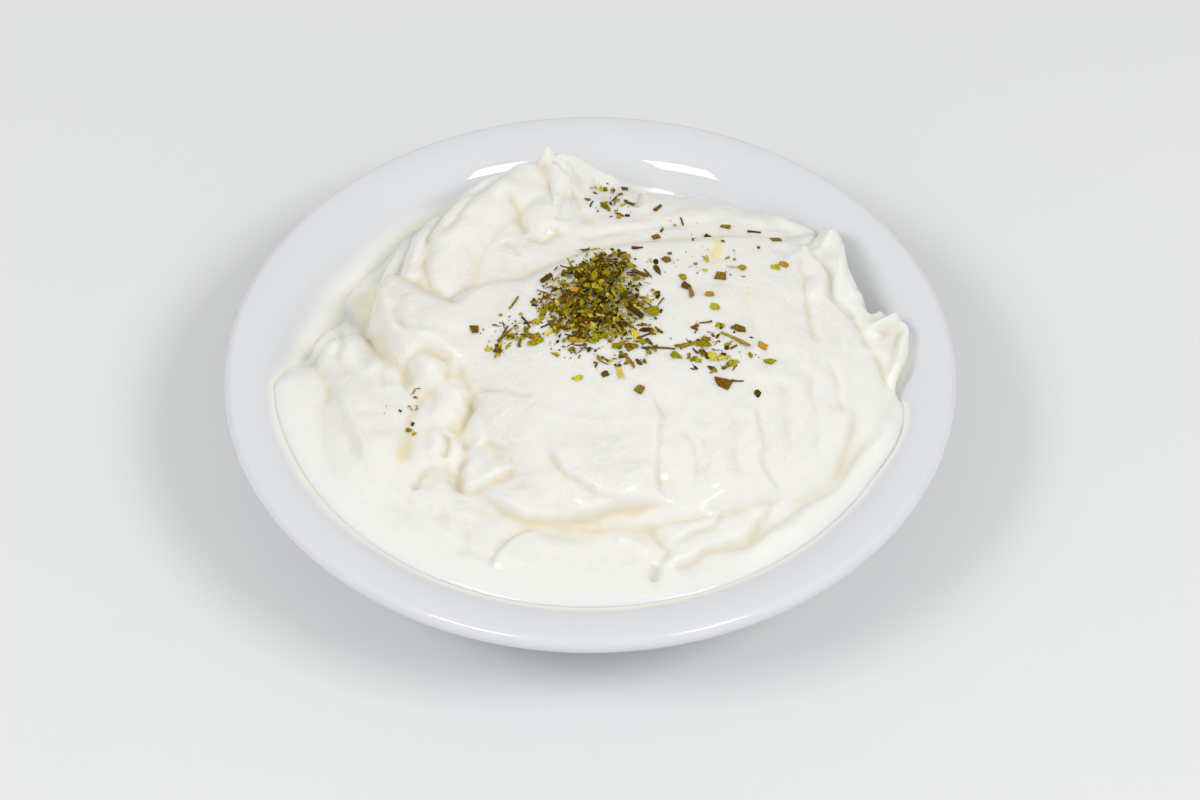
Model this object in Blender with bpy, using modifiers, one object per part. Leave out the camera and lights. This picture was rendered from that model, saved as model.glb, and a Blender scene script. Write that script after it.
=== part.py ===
"""A small white dish of garlic yogurt: the glazed dish, and the spooned yogurt with dried herbs on top."""
import random
from math import cos, pi, radians, sin, sqrt, tan

import bmesh
import bpy
import numpy as np
from mathutils import Matrix, Vector

# ---------------------------------------------------------------- dish section
# Lengths in this script are millimetres; MM turns them into the scene's metres.
MM = 0.001
RIM_RADIUS = 75.0
DISH_HEIGHT = 26.0
LIP_ROUND = 1.9
CREST_RADIUS = 72.0
SHOULDER_ROUND = 13.4
WALL_THICKNESS = 3.8
WALL_SLOPE = radians(45)
FLOOR_LEVEL = 7.4
CORNER_ROUND = 14.0
GAP = 0.3

SHOULDER_Z = DISH_HEIGHT - SHOULDER_ROUND
WALL_TOP_R = CREST_RADIUS - SHOULDER_ROUND * sin(WALL_SLOPE)
WALL_TOP_Z = SHOULDER_Z + SHOULDER_ROUND * cos(WALL_SLOPE)
WALL_FOOT_Z = FLOOR_LEVEL + CORNER_ROUND * (1 - cos(WALL_SLOPE))
WALL_FOOT_R = WALL_TOP_R - (WALL_TOP_Z - WALL_FOOT_Z) / tan(WALL_SLOPE)
FLOOR_RADIUS = WALL_FOOT_R - CORNER_ROUND * sin(WALL_SLOPE)


def wall_height(radius):
    """Height of the dish's inner face at each radius."""
    shoulder = SHOULDER_Z + np.sqrt(np.maximum(SHOULDER_ROUND**2 - (CREST_RADIUS - radius)**2, 0))
    slope = WALL_TOP_Z - (WALL_TOP_R - radius) * tan(WALL_SLOPE)
    corner = FLOOR_LEVEL + CORNER_ROUND - np.sqrt(np.maximum(CORNER_ROUND**2 - (radius - FLOOR_RADIUS)**2, 0))
    low = np.where(radius < FLOOR_RADIUS, FLOOR_LEVEL, corner)
    return np.where(radius >= WALL_TOP_R, shoulder, np.where(radius >= WALL_FOOT_R, slope, low))


# ---------------------------------------------------------------- yogurt: large forms
# Where the yogurt meets the dish: (bearing in degrees from +X, radius).
CONTACT = [(0, 65.5), (4, 66), (7, 65.6), (9, 63.8), (11.5, 59.3), (14, 57.7), (18.5, 57.7), (23.5, 58.5),
           (28, 60.8), (32, 62.9), (36, 62.6), (42.5, 60.7), (48.5, 59.1), (55.5, 58.1), (70, 58.2),
           (82, 58.9), (95, 60.5), (110, 61.2), (120, 59.8), (132, 59.2), (140.5, 57.8), (149.5, 58),
           (155.5, 57.8), (159.5, 56.5), (164.5, 57.9), (170.5, 59), (177.5, 60.4), (182, 63.2),
           (187, 65.2), (205, 64.9), (225, 64.9), (245, 65), (270, 65), (300, 64.7), (329.5, 64.6),
           (340, 65.6), (346, 65.5), (349.5, 64.6), (351.5, 62.7), (355, 63.5)]
EDGE_ROUND = 0.4
POOL_RISE = 0.10
POOL_RISE_AHEAD = 0.04
POOL_SPAN = 60
# How widely the valleys between two forms are rounded, and how steeply a form ends past its foot.
BROAD_BLEND = 3
CLOSE_BLEND = 2
TIGHT_BLEND = 1.2
RIDGE_ROUND = 1.2
FALL_PAST_FOOT = 5
FALL_PAST_ROLL = 8
FAR_BELOW = -50.0
PATH_REACH = 70
END_SHARE = 0.2

# Spines of ridges and rolls: points (x, y, z) along the top.
HILL = [(13, 44.5, 26.0), (9.4, 47, 26.9), (5.2, 49, 29.9), (2, 50, 31.6), (-0.6, 50.5, 33.3),
        (-3.4, 51, 34.5), (-6.2, 51, 35.2), (-9.5, 51, 34.3), (-12.5, 50.3, 32.1), (-16.4, 49.5, 32.1),
        (-20.3, 48, 32.2), (-23, 46, 32.5), (-25, 44, 32.2), (-26.5, 42, 31.6), (-28, 38, 30.8),
        (-29, 32, 29)]
HILL_SLOPES = (0.30, 1.9)
PEAK = (-9.2, 50.8, 37.6)
PEAK_SLOPE = 2.4
PEAK_ROUND = 0.5
ROLLS = {  # spine, radius, roundness
    "shelf behind the hill": ([(-16, 55, 21.5), (-22, 50, 22.5), (-29, 42.5, 24), (-35, 36.5, 25.6),
                               (-39.5, 29.5, 25.4), (-42, 23, 24)], 3.6, 1.0),
    "wedge": ([(-28, 43, 26.4), (-32, 38.5, 27.8), (-35.5, 32, 29), (-37, 26, 29.2), (-37.5, 21, 28.8)],
               2.8, 1.0),
    "tongue": ([(-13, 47, 33.4), (-18.5, 42.5, 34.2), (-24, 36, 34), (-28.5, 28, 32.2), (-30.5, 18, 30)],
                7.0, 0.7),
    "low lobe": ([(4, 43.5, 24.9), (12, 44.5, 25.0), (19, 46, 26.2), (25, 44.8, 25.9), (29, 42, 24.9),
                  (33, 39.6, 24.5), (38, 39.4, 26.2), (43, 37.4, 26.1), (48, 34.5, 26)], 6.0, 1.0),
}
# Rounded heaps: centre x, y; reach left, right, front, back; foot and top level; fullness, and to the right.
MOUND = (4, 5, 31, 60, 53, 45, 25.5, 38.4, 0.5, 0.8)
SHOULDER = (22, 8, 40, 39, 40, 42, 25.0, 37.2, 0.5, 0.62)
PLATE = (-16, 6, 31, 20, 24, 34, 25.0, 34.6, 0.38, 0.38)
VALLEY = (2, 30, 36, 44, 30, 20.3, 24.0, 33.0, 0.6, 0.6)
LEFT_MASS = (-40, -16, 13.5, 16, 24, 19, 24.0, 29.4, 0.7, 0.6)
LEFT_LUMP = (-50, 0, 6.5, 8, 9, 8, 22.5, 27.8, 0.7, 0.7)

# ---------------------------------------------------------------- yogurt: spoon marks
# These are laid out in the plan that an eye at EYE sees on the level of the rim, where the spoon's
# marks read clearly, and lean back from there on to the large forms.
EYE = (2.0, -387.3, 428.7)
FAR_EDGE = [(-36, -9), (-39, 0), (-42, 8), (-44, 15), (-44.8, 21), (-43.5, 24.5), (-38, 21), (-31, 16.5),
            (-28, 16), (-25.5, 19.5), (-20, 22), (-14, 22.5), (-8.5, 26), (-3, 29.5), (4, 32), (12, 34),
            (20, 35), (28, 36), (36, 35.5), (43, 35), (48, 37), (54, 40)]
FAR_EDGE_ROUND = 2.2
FAR_EDGE_FALL = 1.35
# Folds: path with the upper side on its left, height, width of the face, length of the back, undercut and
# width of the valley under it.
FOLDS = {
    "front lip": ([(-22.5, -34.5), (-20, -39), (-15.5, -42.6), (-9.5, -44.6), (-3, -44.2), (3, -42.4),
                   (10, -41), (17, -40)], 1.5, 1.5, 8, 0.9, 4.5),
    "petal": ([(-23.5, -25), (-24.6, -29.5), (-25, -33.5), (-24.3, -35.8), (-21.5, -35.8), (-17.5, -33.5),
               (-14.5, -31)], 1.2, 1.5, 4.5, 0.6, 1.8),
    "above the petal": ([(-24, -25.2), (-21, -24), (-17.5, -25), (-14.5, -24), (-10, -24)],
                         0.4, 1.4, 4, 0.2, 1.2),
    "left plate": ([(-23.5, -9), (-23.6, -14), (-24.5, -18), (-26, -21.5)], 1.0, 2.0, 5, 0.5, 1.8),
    "inner lip": ([(-7.8, -23), (-6.6, -28), (-3.2, -34.5), (0.8, -38.8), (5, -40.4), (9.5, -43)],
                   0.9, 1.2, 7, 0.35, 1.8),
    "middle step": ([(15.5, -41), (13.6, -36), (13.2, -29.5), (13.8, -22), (14, -16), (11.5, -9.5)],
                     0.75, 1.3, 7, 0.25, 2.0),
    "upper right lip": ([(14.5, -51.8), (19.5, -48.6), (24, -46.5), (26.5, -43)], 0.8, 1.2, 5, 0.4, 1.8),
    "lower right lip": ([(14, -55.8), (18, -55), (24, -51.8), (30, -48.2), (34.5, -43.6), (37, -40)],
                         1.2, 1.5, 6, 0.9, 3.8),
    "outer lip": ([(36.5, -40.8), (42, -38), (46.5, -33.6), (49.5, -27.5), (52, -21), (53.5, -13)],
                   0.9, 1.8, 6, 0.6, 3.2),
    "right step": ([(37.5, -40.5), (35.8, -36), (34.4, -31), (33.8, -24), (33.3, -12)],
                    0.7, 1.5, 7, 0.3, 2.6),
    "front arc": ([(-9.5, -46.5), (-13, -48.2), (-16.5, -50.6), (-18.6, -54), (-19.2, -57.5)],
                   0.7, 1.3, 6, 0.4, 2.6),
    "inner back sheet": ([(50.5, 15), (50, 20.5), (49.5, 24.5), (48, 28), (46.5, 31.5), (44.5, 34)],
                          1.5, 1.6, 4, 0.4, 1.6),
    "left mass": ([(-52.5, -1), (-52.8, -8), (-51.2, -15), (-48.5, -20.5), (-46.6, -26), (-46.5, -32)],
                   1.0, 3.2, 6, 0.5, 3.4),
    "lobe": ([(-26, -29.5), (-29, -31), (-32.5, -31.6), (-34.2, -34), (-34.8, -38)],
              -0.9, 1.8, 4, -0.4, 1.3),
}
RIDGES = {  # path, height, half width
    "swell along the rim": ([(62, -16), (57, -25), (51.5, -33), (47, -39), (40.5, -46), (33, -51),
                             (25, -56)], 1.7, 2.8),
    "plate edge": ([(-44.5, 22), (-43.6, 17), (-42.5, 12), (-41, 5)], 0.9, 1.5),
    "corner edge": ([(-38.5, 19), (-37.8, 13), (-36, 8)], 0.5, 1.6),
    "curl at the rim": ([(56.2, 5.2), (58, 7.2), (61, 8.4), (64.2, 9.0), (65.4, 6.0), (64.8, 2.5),
                         (63.8, -2), (62.6, -6), (61.6, -10)], 3.0, 1.3),
    "outer back sheet": ([(56.2, 14.4), (56.1, 17), (55.2, 20.5), (53.8, 24), (53.4, 28), (52.8, 32.5),
                          (51.4, 36)], 0.9, 1.3),
    "crest at the notch": ([(4, -49.5), (9.5, -51), (13, -53)], 0.8, 1.5),
    "lobe under the lip": ([(-12, -51.5), (-4, -51.5), (5, -49.2), (10, -48)], 0.7, 2.6),
    "over the ball": ([(-40, 9), (-36.5, 6.2), (-32.5, 5), (-29, 1.5), (-27, -4)], 0.9, 1.5),
    "sheet, upper edge": ([(44, 33.5), (48, 31), (51, 34), (53.5, 35)], 0.7, 1.3),
}
LUMPS = [  # x, y, half width, half length, turn in degrees, height
    (-33.2, -4.6, 4.6, 5.2, 0, 2.4), (-28.4, -14, 4.4, 7, 8, 1.5), (-31, -24.6, 2.6, 4.2, 0, 1.2),
    (-27, -25, 2.4, 4.6, 5, 1.3), (-30.5, -37, 6, 6.5, 0, 1.0), (-49, 1.5, 3.4, 7.5, 5, 1.3),
    (-55, 3.5, 3.6, 5, -20, 1.2), (-44, -2, 4, 6, 0, 0.5), (-40.5, -27, 5, 6.5, 20, 0.8),
    (60.2, 7.6, 3, 2.4, 0, -1.0), (59, 5.6, 1.3, 1.3, 0, 0.8), (51.4, 35, 3.3, 4.5, 10, 2.0),
    (59.2, 15.6, 2.2, 4, 0, -3.2), (-48, 13.5, 4, 6, 0, -1.7), (-9.5, 43.5, 7, 9, 8, 2.3),
    (-6.5, 54, 4, 7.5, 12, 1.3), (-1.5, 47, 4.5, 6, 0, 0.9), (-16, 29.5, 4.5, 4, 30, 0.8),
    (24, 42.5, 8, 3, 8, 0.9), (38, 40, 7, 2.6, -8, 0.9), (10, 38, 8, 2.4, 5, 0.7),
    (52.5, 28, 2.2, 9, 8, 1.1), (-13, -40.5, 8, 3.5, -8, 0.5), (2, -30, 9, 9, 0, 0.5),
    (24, -30, 8, 12, 10, 0.6), (44, -16, 5, 14, 4, 0.5), (-18, -17, 6, 6.5, 0, 0.7),
    (-30, 11, 7, 5, -25, 0.7), (-19, 51, 4, 5, 0, 0.8)]
CREASES = {  # path, depth, width
    "behind the mound": ([(-6, 36), (2, 35.5), (9, 37), (15, 38.5), (22, 39)], 0.7, 1.2),
    "blob, left": ([(-17, 50.5), (-16, 45), (-15.5, 40), (-13, 35.5)], 1.2, 1.6),
    "blob, foot": ([(-14, 35.4), (-10, 34.4), (-6.5, 37)], 1.0, 1.4),
    "blob, right": ([(-6.2, 51), (-5.8, 46), (-6.5, 38)], 0.8, 1.5),
    "hill, right": ([(-5.5, 50), (-3, 46), (-1, 42), (0.5, 38)], 0.8, 1.4),
    "hill, far right": ([(3, 48.5), (4, 44), (4, 40)], 0.5, 1.5),
    "behind the tongue": ([(-15.5, 57.5), (-20.5, 53.5), (-25.5, 49.5), (-29, 42.5), (-32.5, 34)],
                           1.2, 1.4),
    "beside the tongue": ([(-33.5, 37), (-34.8, 31), (-35.4, 26), (-34, 20.5), (-31, 16.5)], 1.0, 1.2),
    "beside the wedge": ([(-35, 40.5), (-37.8, 35.5), (-39.4, 30), (-39.2, 24)], 0.9, 1.2),
    "under the arch": ([(-19.5, 34.2), (-17.2, 31.6), (-15.5, 28)], 0.8, 1.1),
    "top of the plate": ([(-24, -8), (-20.5, -9.6), (-17.5, -9.4), (-15, -10.6), (-11, -10)], 0.45, 0.9),
    "round the ball": ([(-37.6, -11), (-38.2, -5), (-37.6, -0.5), (-34.4, 1.6), (-31, 0.6), (-28.9, -3),
                        (-28.8, -8)], 1.1, 1.2),
    "left gap": ([(-28, 1.5), (-27, -3.5), (-25.2, -8), (-24.4, -13), (-25, -17.5), (-27, -20.6),
                  (-30.5, -21.6)], 1.7, 1.8),
    "left gap, lower": ([(-25, -20.5), (-25.2, -26), (-26, -31.5), (-25.4, -38)], 1.3, 1.6),
    "herb groove": ([(-31.5, -9), (-34.4, -10.8), (-35.7, -14), (-36.2, -20), (-37, -25), (-37.2, -31)],
                     1.2, 1.6),
    "between the lumps": ([(-29, -21.5), (-28.7, -25), (-29, -29)], 1.0, 1.0),
    "under the lumps": ([(-26, -30), (-29.5, -30.6), (-32.6, -31.2), (-34.2, -34), (-34.6, -37.5)],
                         1.3, 1.1),
    "corner": ([(-41, 16), (-39.8, 11), (-37.8, 7), (-35.5, 4.6)], 0.6, 1.2),
    "hill foot": ([(10.6, 51), (10.2, 47.5), (9, 44)], 1.2, 0.8),
    "sheet crease": ([(49.5, 19.5), (52, 15), (55.5, 10)], 0.5, 0.7),
    "left of the mass": ([(-57.5, -2), (-58, 4), (-55.5, 9), (-51, 10)], 0.8, 1.8),
    "between left lumps": ([(-52, 8), (-51.8, 3), (-52.4, -2.5)], 0.6, 1.8),
    "left dent": ([(-44, 8), (-43.5, 2), (-42.5, -4), (-41.5, -9)], 0.9, 2.4),
    "front notch": ([(11.5, -44.5), (13.2, -49), (15, -52), (13.6, -55), (12.4, -58), (13.2, -62)],
                     0.8, 1.2),
    "notch pit": ([(13.4, -55), (12.2, -57), (12.6, -59)], 1.2, 1.0),
    "front nick": ([(3.5, -58), (6, -55.6), (9.5, -55)], 0.25, 0.9),
    "left of the inner sheet": ([(43.5, 32.5), (44.5, 27.5), (45, 22), (45.5, 16), (46, 8.5), (46.5, 3)],
                                 0.8, 0.9),
    "between the sheets": ([(48.5, 29), (49.5, 23.5), (51, 19), (53, 16), (55, 11.5), (55.5, 7), (57, 3),
                            (59, -0.5)], 0.9, 1.1),
    "notch in the sheets": ([(49.5, 38.5), (47.5, 35.4), (45.8, 33.4), (46.2, 31)], 1.3, 0.8),
    "inside the curl": ([(58, 1), (59.8, -2.6), (60.8, -6.5), (61.2, -10)], 1.2, 0.9),
    "under the peak": ([(-8.6, 60), (-7, 58), (-5.6, 55.5), (-4.6, 53)], 0.7, 0.8),
    "streak 1": ([(22, -20), (22.6, -28), (22.6, -36)], 0.6, 1.5),
    "streak 2": ([(17.5, -19), (20, -24), (21, -30), (20.5, -37)], 0.55, 1.0),
    "streak 3": ([(43.4, -2), (45, -10), (45.6, -19), (44.4, -28)], 0.8, 1.8),
    "streak 4": ([(28, -14), (28.8, -24), (29.8, -34)], 0.55, 1.6),
    "streak 6": ([(38.5, -6), (39.6, -15), (39.4, -25)], 0.5, 1.6),
    "streak 7": ([(33, 12), (35, 3), (36, -6)], 0.4, 1.4),
    "streak 5": ([(48.5, -1), (50.5, -9), (50.8, -17)], 0.6, 1.3),
    "under the right lips": ([(22, -53), (26, -51), (33, -47.6), (40, -42.6), (47, -36), (53, -27.5),
                              (57.5, -19)], 1.35, 2.6),
    "left pool": ([(-44, -36), (-38, -41), (-31, -43), (-25, -45)], 0.6, 3.2),
    "front pool": ([(-23.5, -42), (-24, -48), (-22.5, -55)], 0.6, 2.6),
}

# Unevenness: (size, height) of smooth random bumps, and how far the spoon marks wander.
BUMPS = [(11, 0.34), (5, 0.28), (2.4, 0.13), (1.3, 0.045)]
WANDER = [(6, 0.7), (2.5, 0.22)]
WANDER_LAYERS = 20
STROKE_CENTRE = (4, -2)
STROKE_SIZE = (1.5, 24)
STROKE_HEIGHT = 0.13
STROKE_CLEAR = 12
CALM_SHARE = 0.35
CALM_WIDTH = 3
ROUGH_WIDTH = 10
EDGE_FADE = 2
NOISE_CELLS = 64
RELIEF_SEED = 5


def smooth_noise(x, y, size, layer):
    """A smooth random field between -1 and 1, with features about a size apart."""
    cells = np.random.default_rng(RELIEF_SEED + layer).uniform(-1, 1, (NOISE_CELLS, NOISE_CELLS))
    u, v = x / size, y / size
    i, j = np.floor(u).astype(int), np.floor(v).astype(int)
    s, t = u - i, v - j
    s = s * s * s * (s * (6 * s - 15) + 10)
    t = t * t * t * (t * (6 * t - 15) + 10)
    i0, i1 = i % NOISE_CELLS, (i + 1) % NOISE_CELLS
    j0, j1 = j % NOISE_CELLS, (j + 1) % NOISE_CELLS
    near = cells[i0, j0] * (1 - s) + cells[i1, j0] * s
    far = cells[i0, j1] * (1 - s) + cells[i1, j1] * s
    return near * (1 - t) + far * t


def curve(points):
    """Smooth curve through a few points, about a millimetre between samples."""
    knots = np.array(points, float)
    guard = np.vstack([2 * knots[0] - knots[1], knots, 2 * knots[-1] - knots[-2]])
    pieces = []
    for a, b, c, d in zip(guard, guard[1:], guard[2:], guard[3:]):
        count = int(np.linalg.norm((c - b)[:2])) + 2
        t = np.linspace(0, 1, count, endpoint=False)[:, None]
        pieces.append(0.5 * (2 * b + (c - a) * t + (2 * a - 5 * b + 4 * c - d) * t**2
                             + (3 * b - 3 * c + d - a) * t**3))
    return np.vstack(pieces + [knots[-1:]])


def along(x, y, path, reach):
    """Points within reach of a path: index, signed distance (left is +), share of the way and overrun."""
    low = path[:, :2].min(0) - reach
    high = path[:, :2].max(0) + reach
    near = np.nonzero((x > low[0]) & (x < high[0]) & (y > low[1]) & (y < high[1]))[0]
    px, py = x[near], y[near]
    step = np.diff(path[:, :2], axis=0)
    length = np.hypot(step[:, 0], step[:, 1])
    start = np.concatenate([[0], np.cumsum(length)])
    best = np.full(len(near), 1e9)
    side = np.ones(len(near))
    share = np.zeros(len(near))
    over = np.zeros(len(near))
    for i, (ux, uy) in enumerate(step / length[:, None]):
        rx, ry = px - path[i, 0], py - path[i, 1]
        run = rx * ux + ry * uy
        held = np.clip(run, 0, length[i])
        distance = np.hypot(rx - held * ux, ry - held * uy)
        closer = distance < best
        best[closer] = distance[closer]
        side[closer] = np.where(ux * ry - uy * rx < 0, -1, 1)[closer]
        share[closer] = ((start[i] + held) / start[-1])[closer]
        over[closer] = np.abs(run - held)[closer]
    return near, best * side, share, over


def fade(share, over, width):
    """1 along a path, easing to 0 at and past its ends."""
    end = np.clip(np.minimum(share, 1 - share) / END_SHARE, 0, 1)
    return end * end * (3 - 2 * end) * np.exp(-(over / width)**2)


def spine_height(path, share):
    """Height of a 3-D path at a share of its way."""
    step = np.hypot(*np.diff(path[:, :2], axis=0).T)
    way = np.concatenate([[0], np.cumsum(step)])
    return np.interp(share, way / way[-1], path[:, 2])


def blend_max(a, b, width):
    """The higher of two surfaces, with the valley between them rounded over a width."""
    overlap = np.maximum(width - np.abs(a - b), 0) / width
    return np.maximum(a, b) + overlap**2 * width / 4


def heap(x, y, shape):
    """A rounded heap that reaches differently far on each side."""
    cx, cy, left, right, front, back, foot, top, full, full_right = shape
    u = (x - cx) / np.where(x < cx, left, right)
    v = (y - cy) / np.where(y < cy, front, back)
    q = np.hypot(u, v)
    fullness = full + (full_right - full) * np.clip(u / np.maximum(q, 1e-6), 0, 1)**2
    return foot + (top - foot) * (np.maximum(1 - q * q, 0)**fullness - FALL_PAST_FOOT * np.maximum(q - 1, 0))


def ridge_line(x, y, spine, slopes, rounding):
    """A ridge with its own slope on either side."""
    path = curve(spine)
    near, d, share, _ = along(x, y, path, PATH_REACH)
    z = np.full(len(x), FAR_BELOW)
    slope = np.where(d > 0, slopes[0], slopes[1])
    z[near] = spine_height(path, share) - slope * (np.sqrt(d * d + rounding**2) - rounding)
    return z


def roll(x, y, spine, radius, roundness):
    """A round roll along a spine."""
    path = curve(spine)
    near, d, share, _ = along(x, y, path, 1.6 * radius)
    z = np.full(len(x), FAR_BELOW)
    section = roundness * radius * (1 - np.sqrt(np.maximum(1 - (d / radius)**2, 0)))
    z[near] = spine_height(path, share) - section - FALL_PAST_ROLL * np.maximum(np.abs(d) - radius, 0)
    return z


def seen_plan(x, y, z):
    """Where the eye point sees each point on the level of the rim."""
    k = (EYE[2] - DISH_HEIGHT) / (EYE[2] - z)
    return EYE[0] + (x - EYE[0]) * k, EYE[1] + (y - EYE[1]) * k


def cut_far_edge(z, px, py):
    """Let the front mass fall away behind its far edge, over a rounded shoulder."""
    near, d, _, _ = along(px, py, curve(FAR_EDGE), PATH_REACH)
    past = np.maximum(d + FAR_EDGE_ROUND, 0)
    flat = FAR_EDGE_ROUND * sqrt(3)
    z[near] -= FAR_EDGE_FALL * (np.sqrt(past**2 + flat**2) - flat)
    return z


def contact_radius(bearing):
    """Radius of the yogurt's edge at each bearing, in degrees: a smooth closed curve."""
    knots = np.array(CONTACT, float)
    ring = np.vstack([knots - [360, 0], knots, knots + [360, 0]])
    i = np.searchsorted(ring[:, 0], bearing, side="right") - 1
    (x0, y0), (x1, y1), (x2, y2), (x3, y3) = (ring[i + k].T for k in (-1, 0, 1, 2))
    t = (bearing - x1) / (x2 - x1)
    m1 = (y2 - y0) / (x2 - x0) * (x2 - x1)
    m2 = (y3 - y1) / (x3 - x1) * (x2 - x1)
    return ((2 * t**3 - 3 * t**2 + 1) * y1 + (t**3 - 2 * t**2 + t) * m1
            + (3 * t**2 - 2 * t**3) * y2 + (t**3 - t**2) * m2)


def large_forms(x, y, inside, edge):
    """The pool, the heap behind it and the big front mass, without spoon marks."""
    ahead = np.clip(0.5 - y / POOL_SPAN, 0, 1)
    z = wall_height(edge) + GAP + EDGE_ROUND * (1 - np.exp(-inside / EDGE_ROUND))
    z = z + inside * (POOL_RISE + POOL_RISE_AHEAD * ahead)
    z = blend_max(z, heap(x, y, VALLEY), BROAD_BLEND)
    z = blend_max(z, ridge_line(x, y, HILL, HILL_SLOPES, RIDGE_ROUND), BROAD_BLEND)
    from_peak = np.sqrt((x - PEAK[0])**2 + (y - PEAK[1])**2 + PEAK_ROUND**2) - PEAK_ROUND
    z = np.maximum(z, PEAK[2] - PEAK_SLOPE * from_peak)
    for spine, radius, roundness in ROLLS.values():
        z = blend_max(z, roll(x, y, spine, radius, roundness), TIGHT_BLEND)
    z = blend_max(z, heap(x, y, LEFT_MASS), BROAD_BLEND)
    z = blend_max(z, heap(x, y, LEFT_LUMP), CLOSE_BLEND)
    front = blend_max(heap(x, y, MOUND), heap(x, y, SHOULDER), BROAD_BLEND)
    front = blend_max(front, heap(x, y, PLATE), CLOSE_BLEND)
    front = cut_far_edge(front, *seen_plan(x, y, front))
    return blend_max(z, front, TIGHT_BLEND)


def spoon_marks(z, px, py):
    """Add folds, ridges, lumps and creases, laid out in the eye's plan."""
    for path, height, width in RIDGES.values():
        near, d, share, over = along(px, py, curve(path), 3.2 * width)
        z[near] += height * np.exp(-(d / width)**2) * fade(share, over, width)
    for path, height, lip, back, undercut, valley in FOLDS.values():
        near, d, share, over = along(px, py, curve(path), max(2.5 * back, 3 * valley))
        t = np.clip(0.5 + d / lip, 0, 1)
        rise = t * t * (3 - 2 * t) * np.exp(-(np.maximum(d - lip / 2, 0) / back)**2)
        dip = np.where(d < 0, np.exp(-(np.abs(d) / valley)**1.5), np.exp(-(3 * d / lip)**2))
        z[near] += (height * rise - undercut * dip) * fade(share, over, np.where(d < 0, valley, 2 * lip))
    for cx, cy, half_width, half_length, turn, height in LUMPS:
        c, s = cos(radians(turn)), sin(radians(turn))
        u = ((px - cx) * c + (py - cy) * s) / half_width
        v = ((py - cy) * c - (px - cx) * s) / half_length
        z += height * np.maximum(1 - u * u - v * v, 0)**1.5
    for path, depth, width in CREASES.values():
        near, d, share, over = along(px, py, curve(path), 3 * width)
        z[near] -= depth * np.exp(-(np.abs(d) / width)**1.5) * fade(share, over, 1.5 * width)
    return z


def unevenness(x, y, inside):
    """Lumps and fine strokes that a spoon leaves in thick yogurt, calmer in the pool at the edge."""
    rough = CALM_SHARE + (1 - CALM_SHARE) * np.clip((inside - CALM_WIDTH) / ROUGH_WIDTH, 0, 1)
    z = sum(height * smooth_noise(x, y, size, layer) for layer, (size, height) in enumerate(BUMPS))
    radius = np.hypot(x - STROKE_CENTRE[0], y - STROKE_CENTRE[1])
    turn = np.arctan2(y - STROKE_CENTRE[1], x - STROKE_CENTRE[0])
    stroke = smooth_noise(radius * STROKE_SIZE[1] / STROKE_SIZE[0], turn * radius, STROKE_SIZE[1], len(BUMPS))
    clear = np.clip(radius / STROKE_CLEAR - 1, 0, 1) * np.clip((STROKE_CLEAR - y) / STROKE_SIZE[1], 0, 1)
    return rough * (z + STROKE_HEIGHT * stroke * clear)


def yogurt_height(x, y):
    """Height of the yogurt's top surface, spoon marks included."""
    edge = contact_radius(np.degrees(np.arctan2(y, x)) % 360)
    inside = np.maximum(edge - np.hypot(x, y), 0)
    z = large_forms(x, y, inside, edge)
    px, py = seen_plan(x, y, z)
    for layer, (size, reach) in enumerate(WANDER):
        sideways = reach * smooth_noise(px, py, size, WANDER_LAYERS + 2 * layer)
        onward = reach * smooth_noise(px, py, size, WANDER_LAYERS + 2 * layer + 1)
        px, py = px + sideways, py + onward
    z = spoon_marks(z, px, py) + unevenness(x, y, inside) * (1 - np.exp(-inside / EDGE_FADE))
    return np.maximum(z, wall_height(np.hypot(x, y)) + GAP)


# ---------------------------------------------------------------- solids
TURN_STEPS = 72
FOOT_OUTER = 42.0
FOOT_INNER = 39.0
FOOT_TUCK = 2.4
RECESS_LEVEL = 2.5
SPHERE_SECTORS = 240
SPHERE_RINGS = 120
KEPT_SHARE = 0.099

# Herb crumbs: (count, plan centre, spread along x and y, turn in degrees), in the eye's plan.
HERB_CLUSTERS = [(78, (0.5, 16.5), (6.8, 7), 0), (26, (26, 2), (5.5, 4.5), -15), (9, (5, 45), (3, 4.5), 10),
                 (16, (23, 32), (11, 5), 15), (14, (4, -1), (8, 4.5), 0), (9, (-17, 5), (4, 4), 40),
                 (6, (-36, -16), (0.9, 5.5), 0), (10, (18, 12), (10, 7), 0)]
CLUSTER_EDGE = 2
CRUMB_LENGTH = (1.3, 3.0)
CRUMB_WIDTH = (0.85, 1.2)
CRUMB_THICKNESS = 0.75
CRUMB_TAPER = 0.88
CRUMB_SIDES = (4, 5)
CRUMB_SPACING = 1.15
TRIES_EACH = 40
# The sight line is followed between these shares of its length, in this many steps.
SIGHT_SHARES = (0.9, 1.08)
SIGHT_STEPS = 360
SLOPE_STEP = 0.8
SEED = 11


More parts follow.
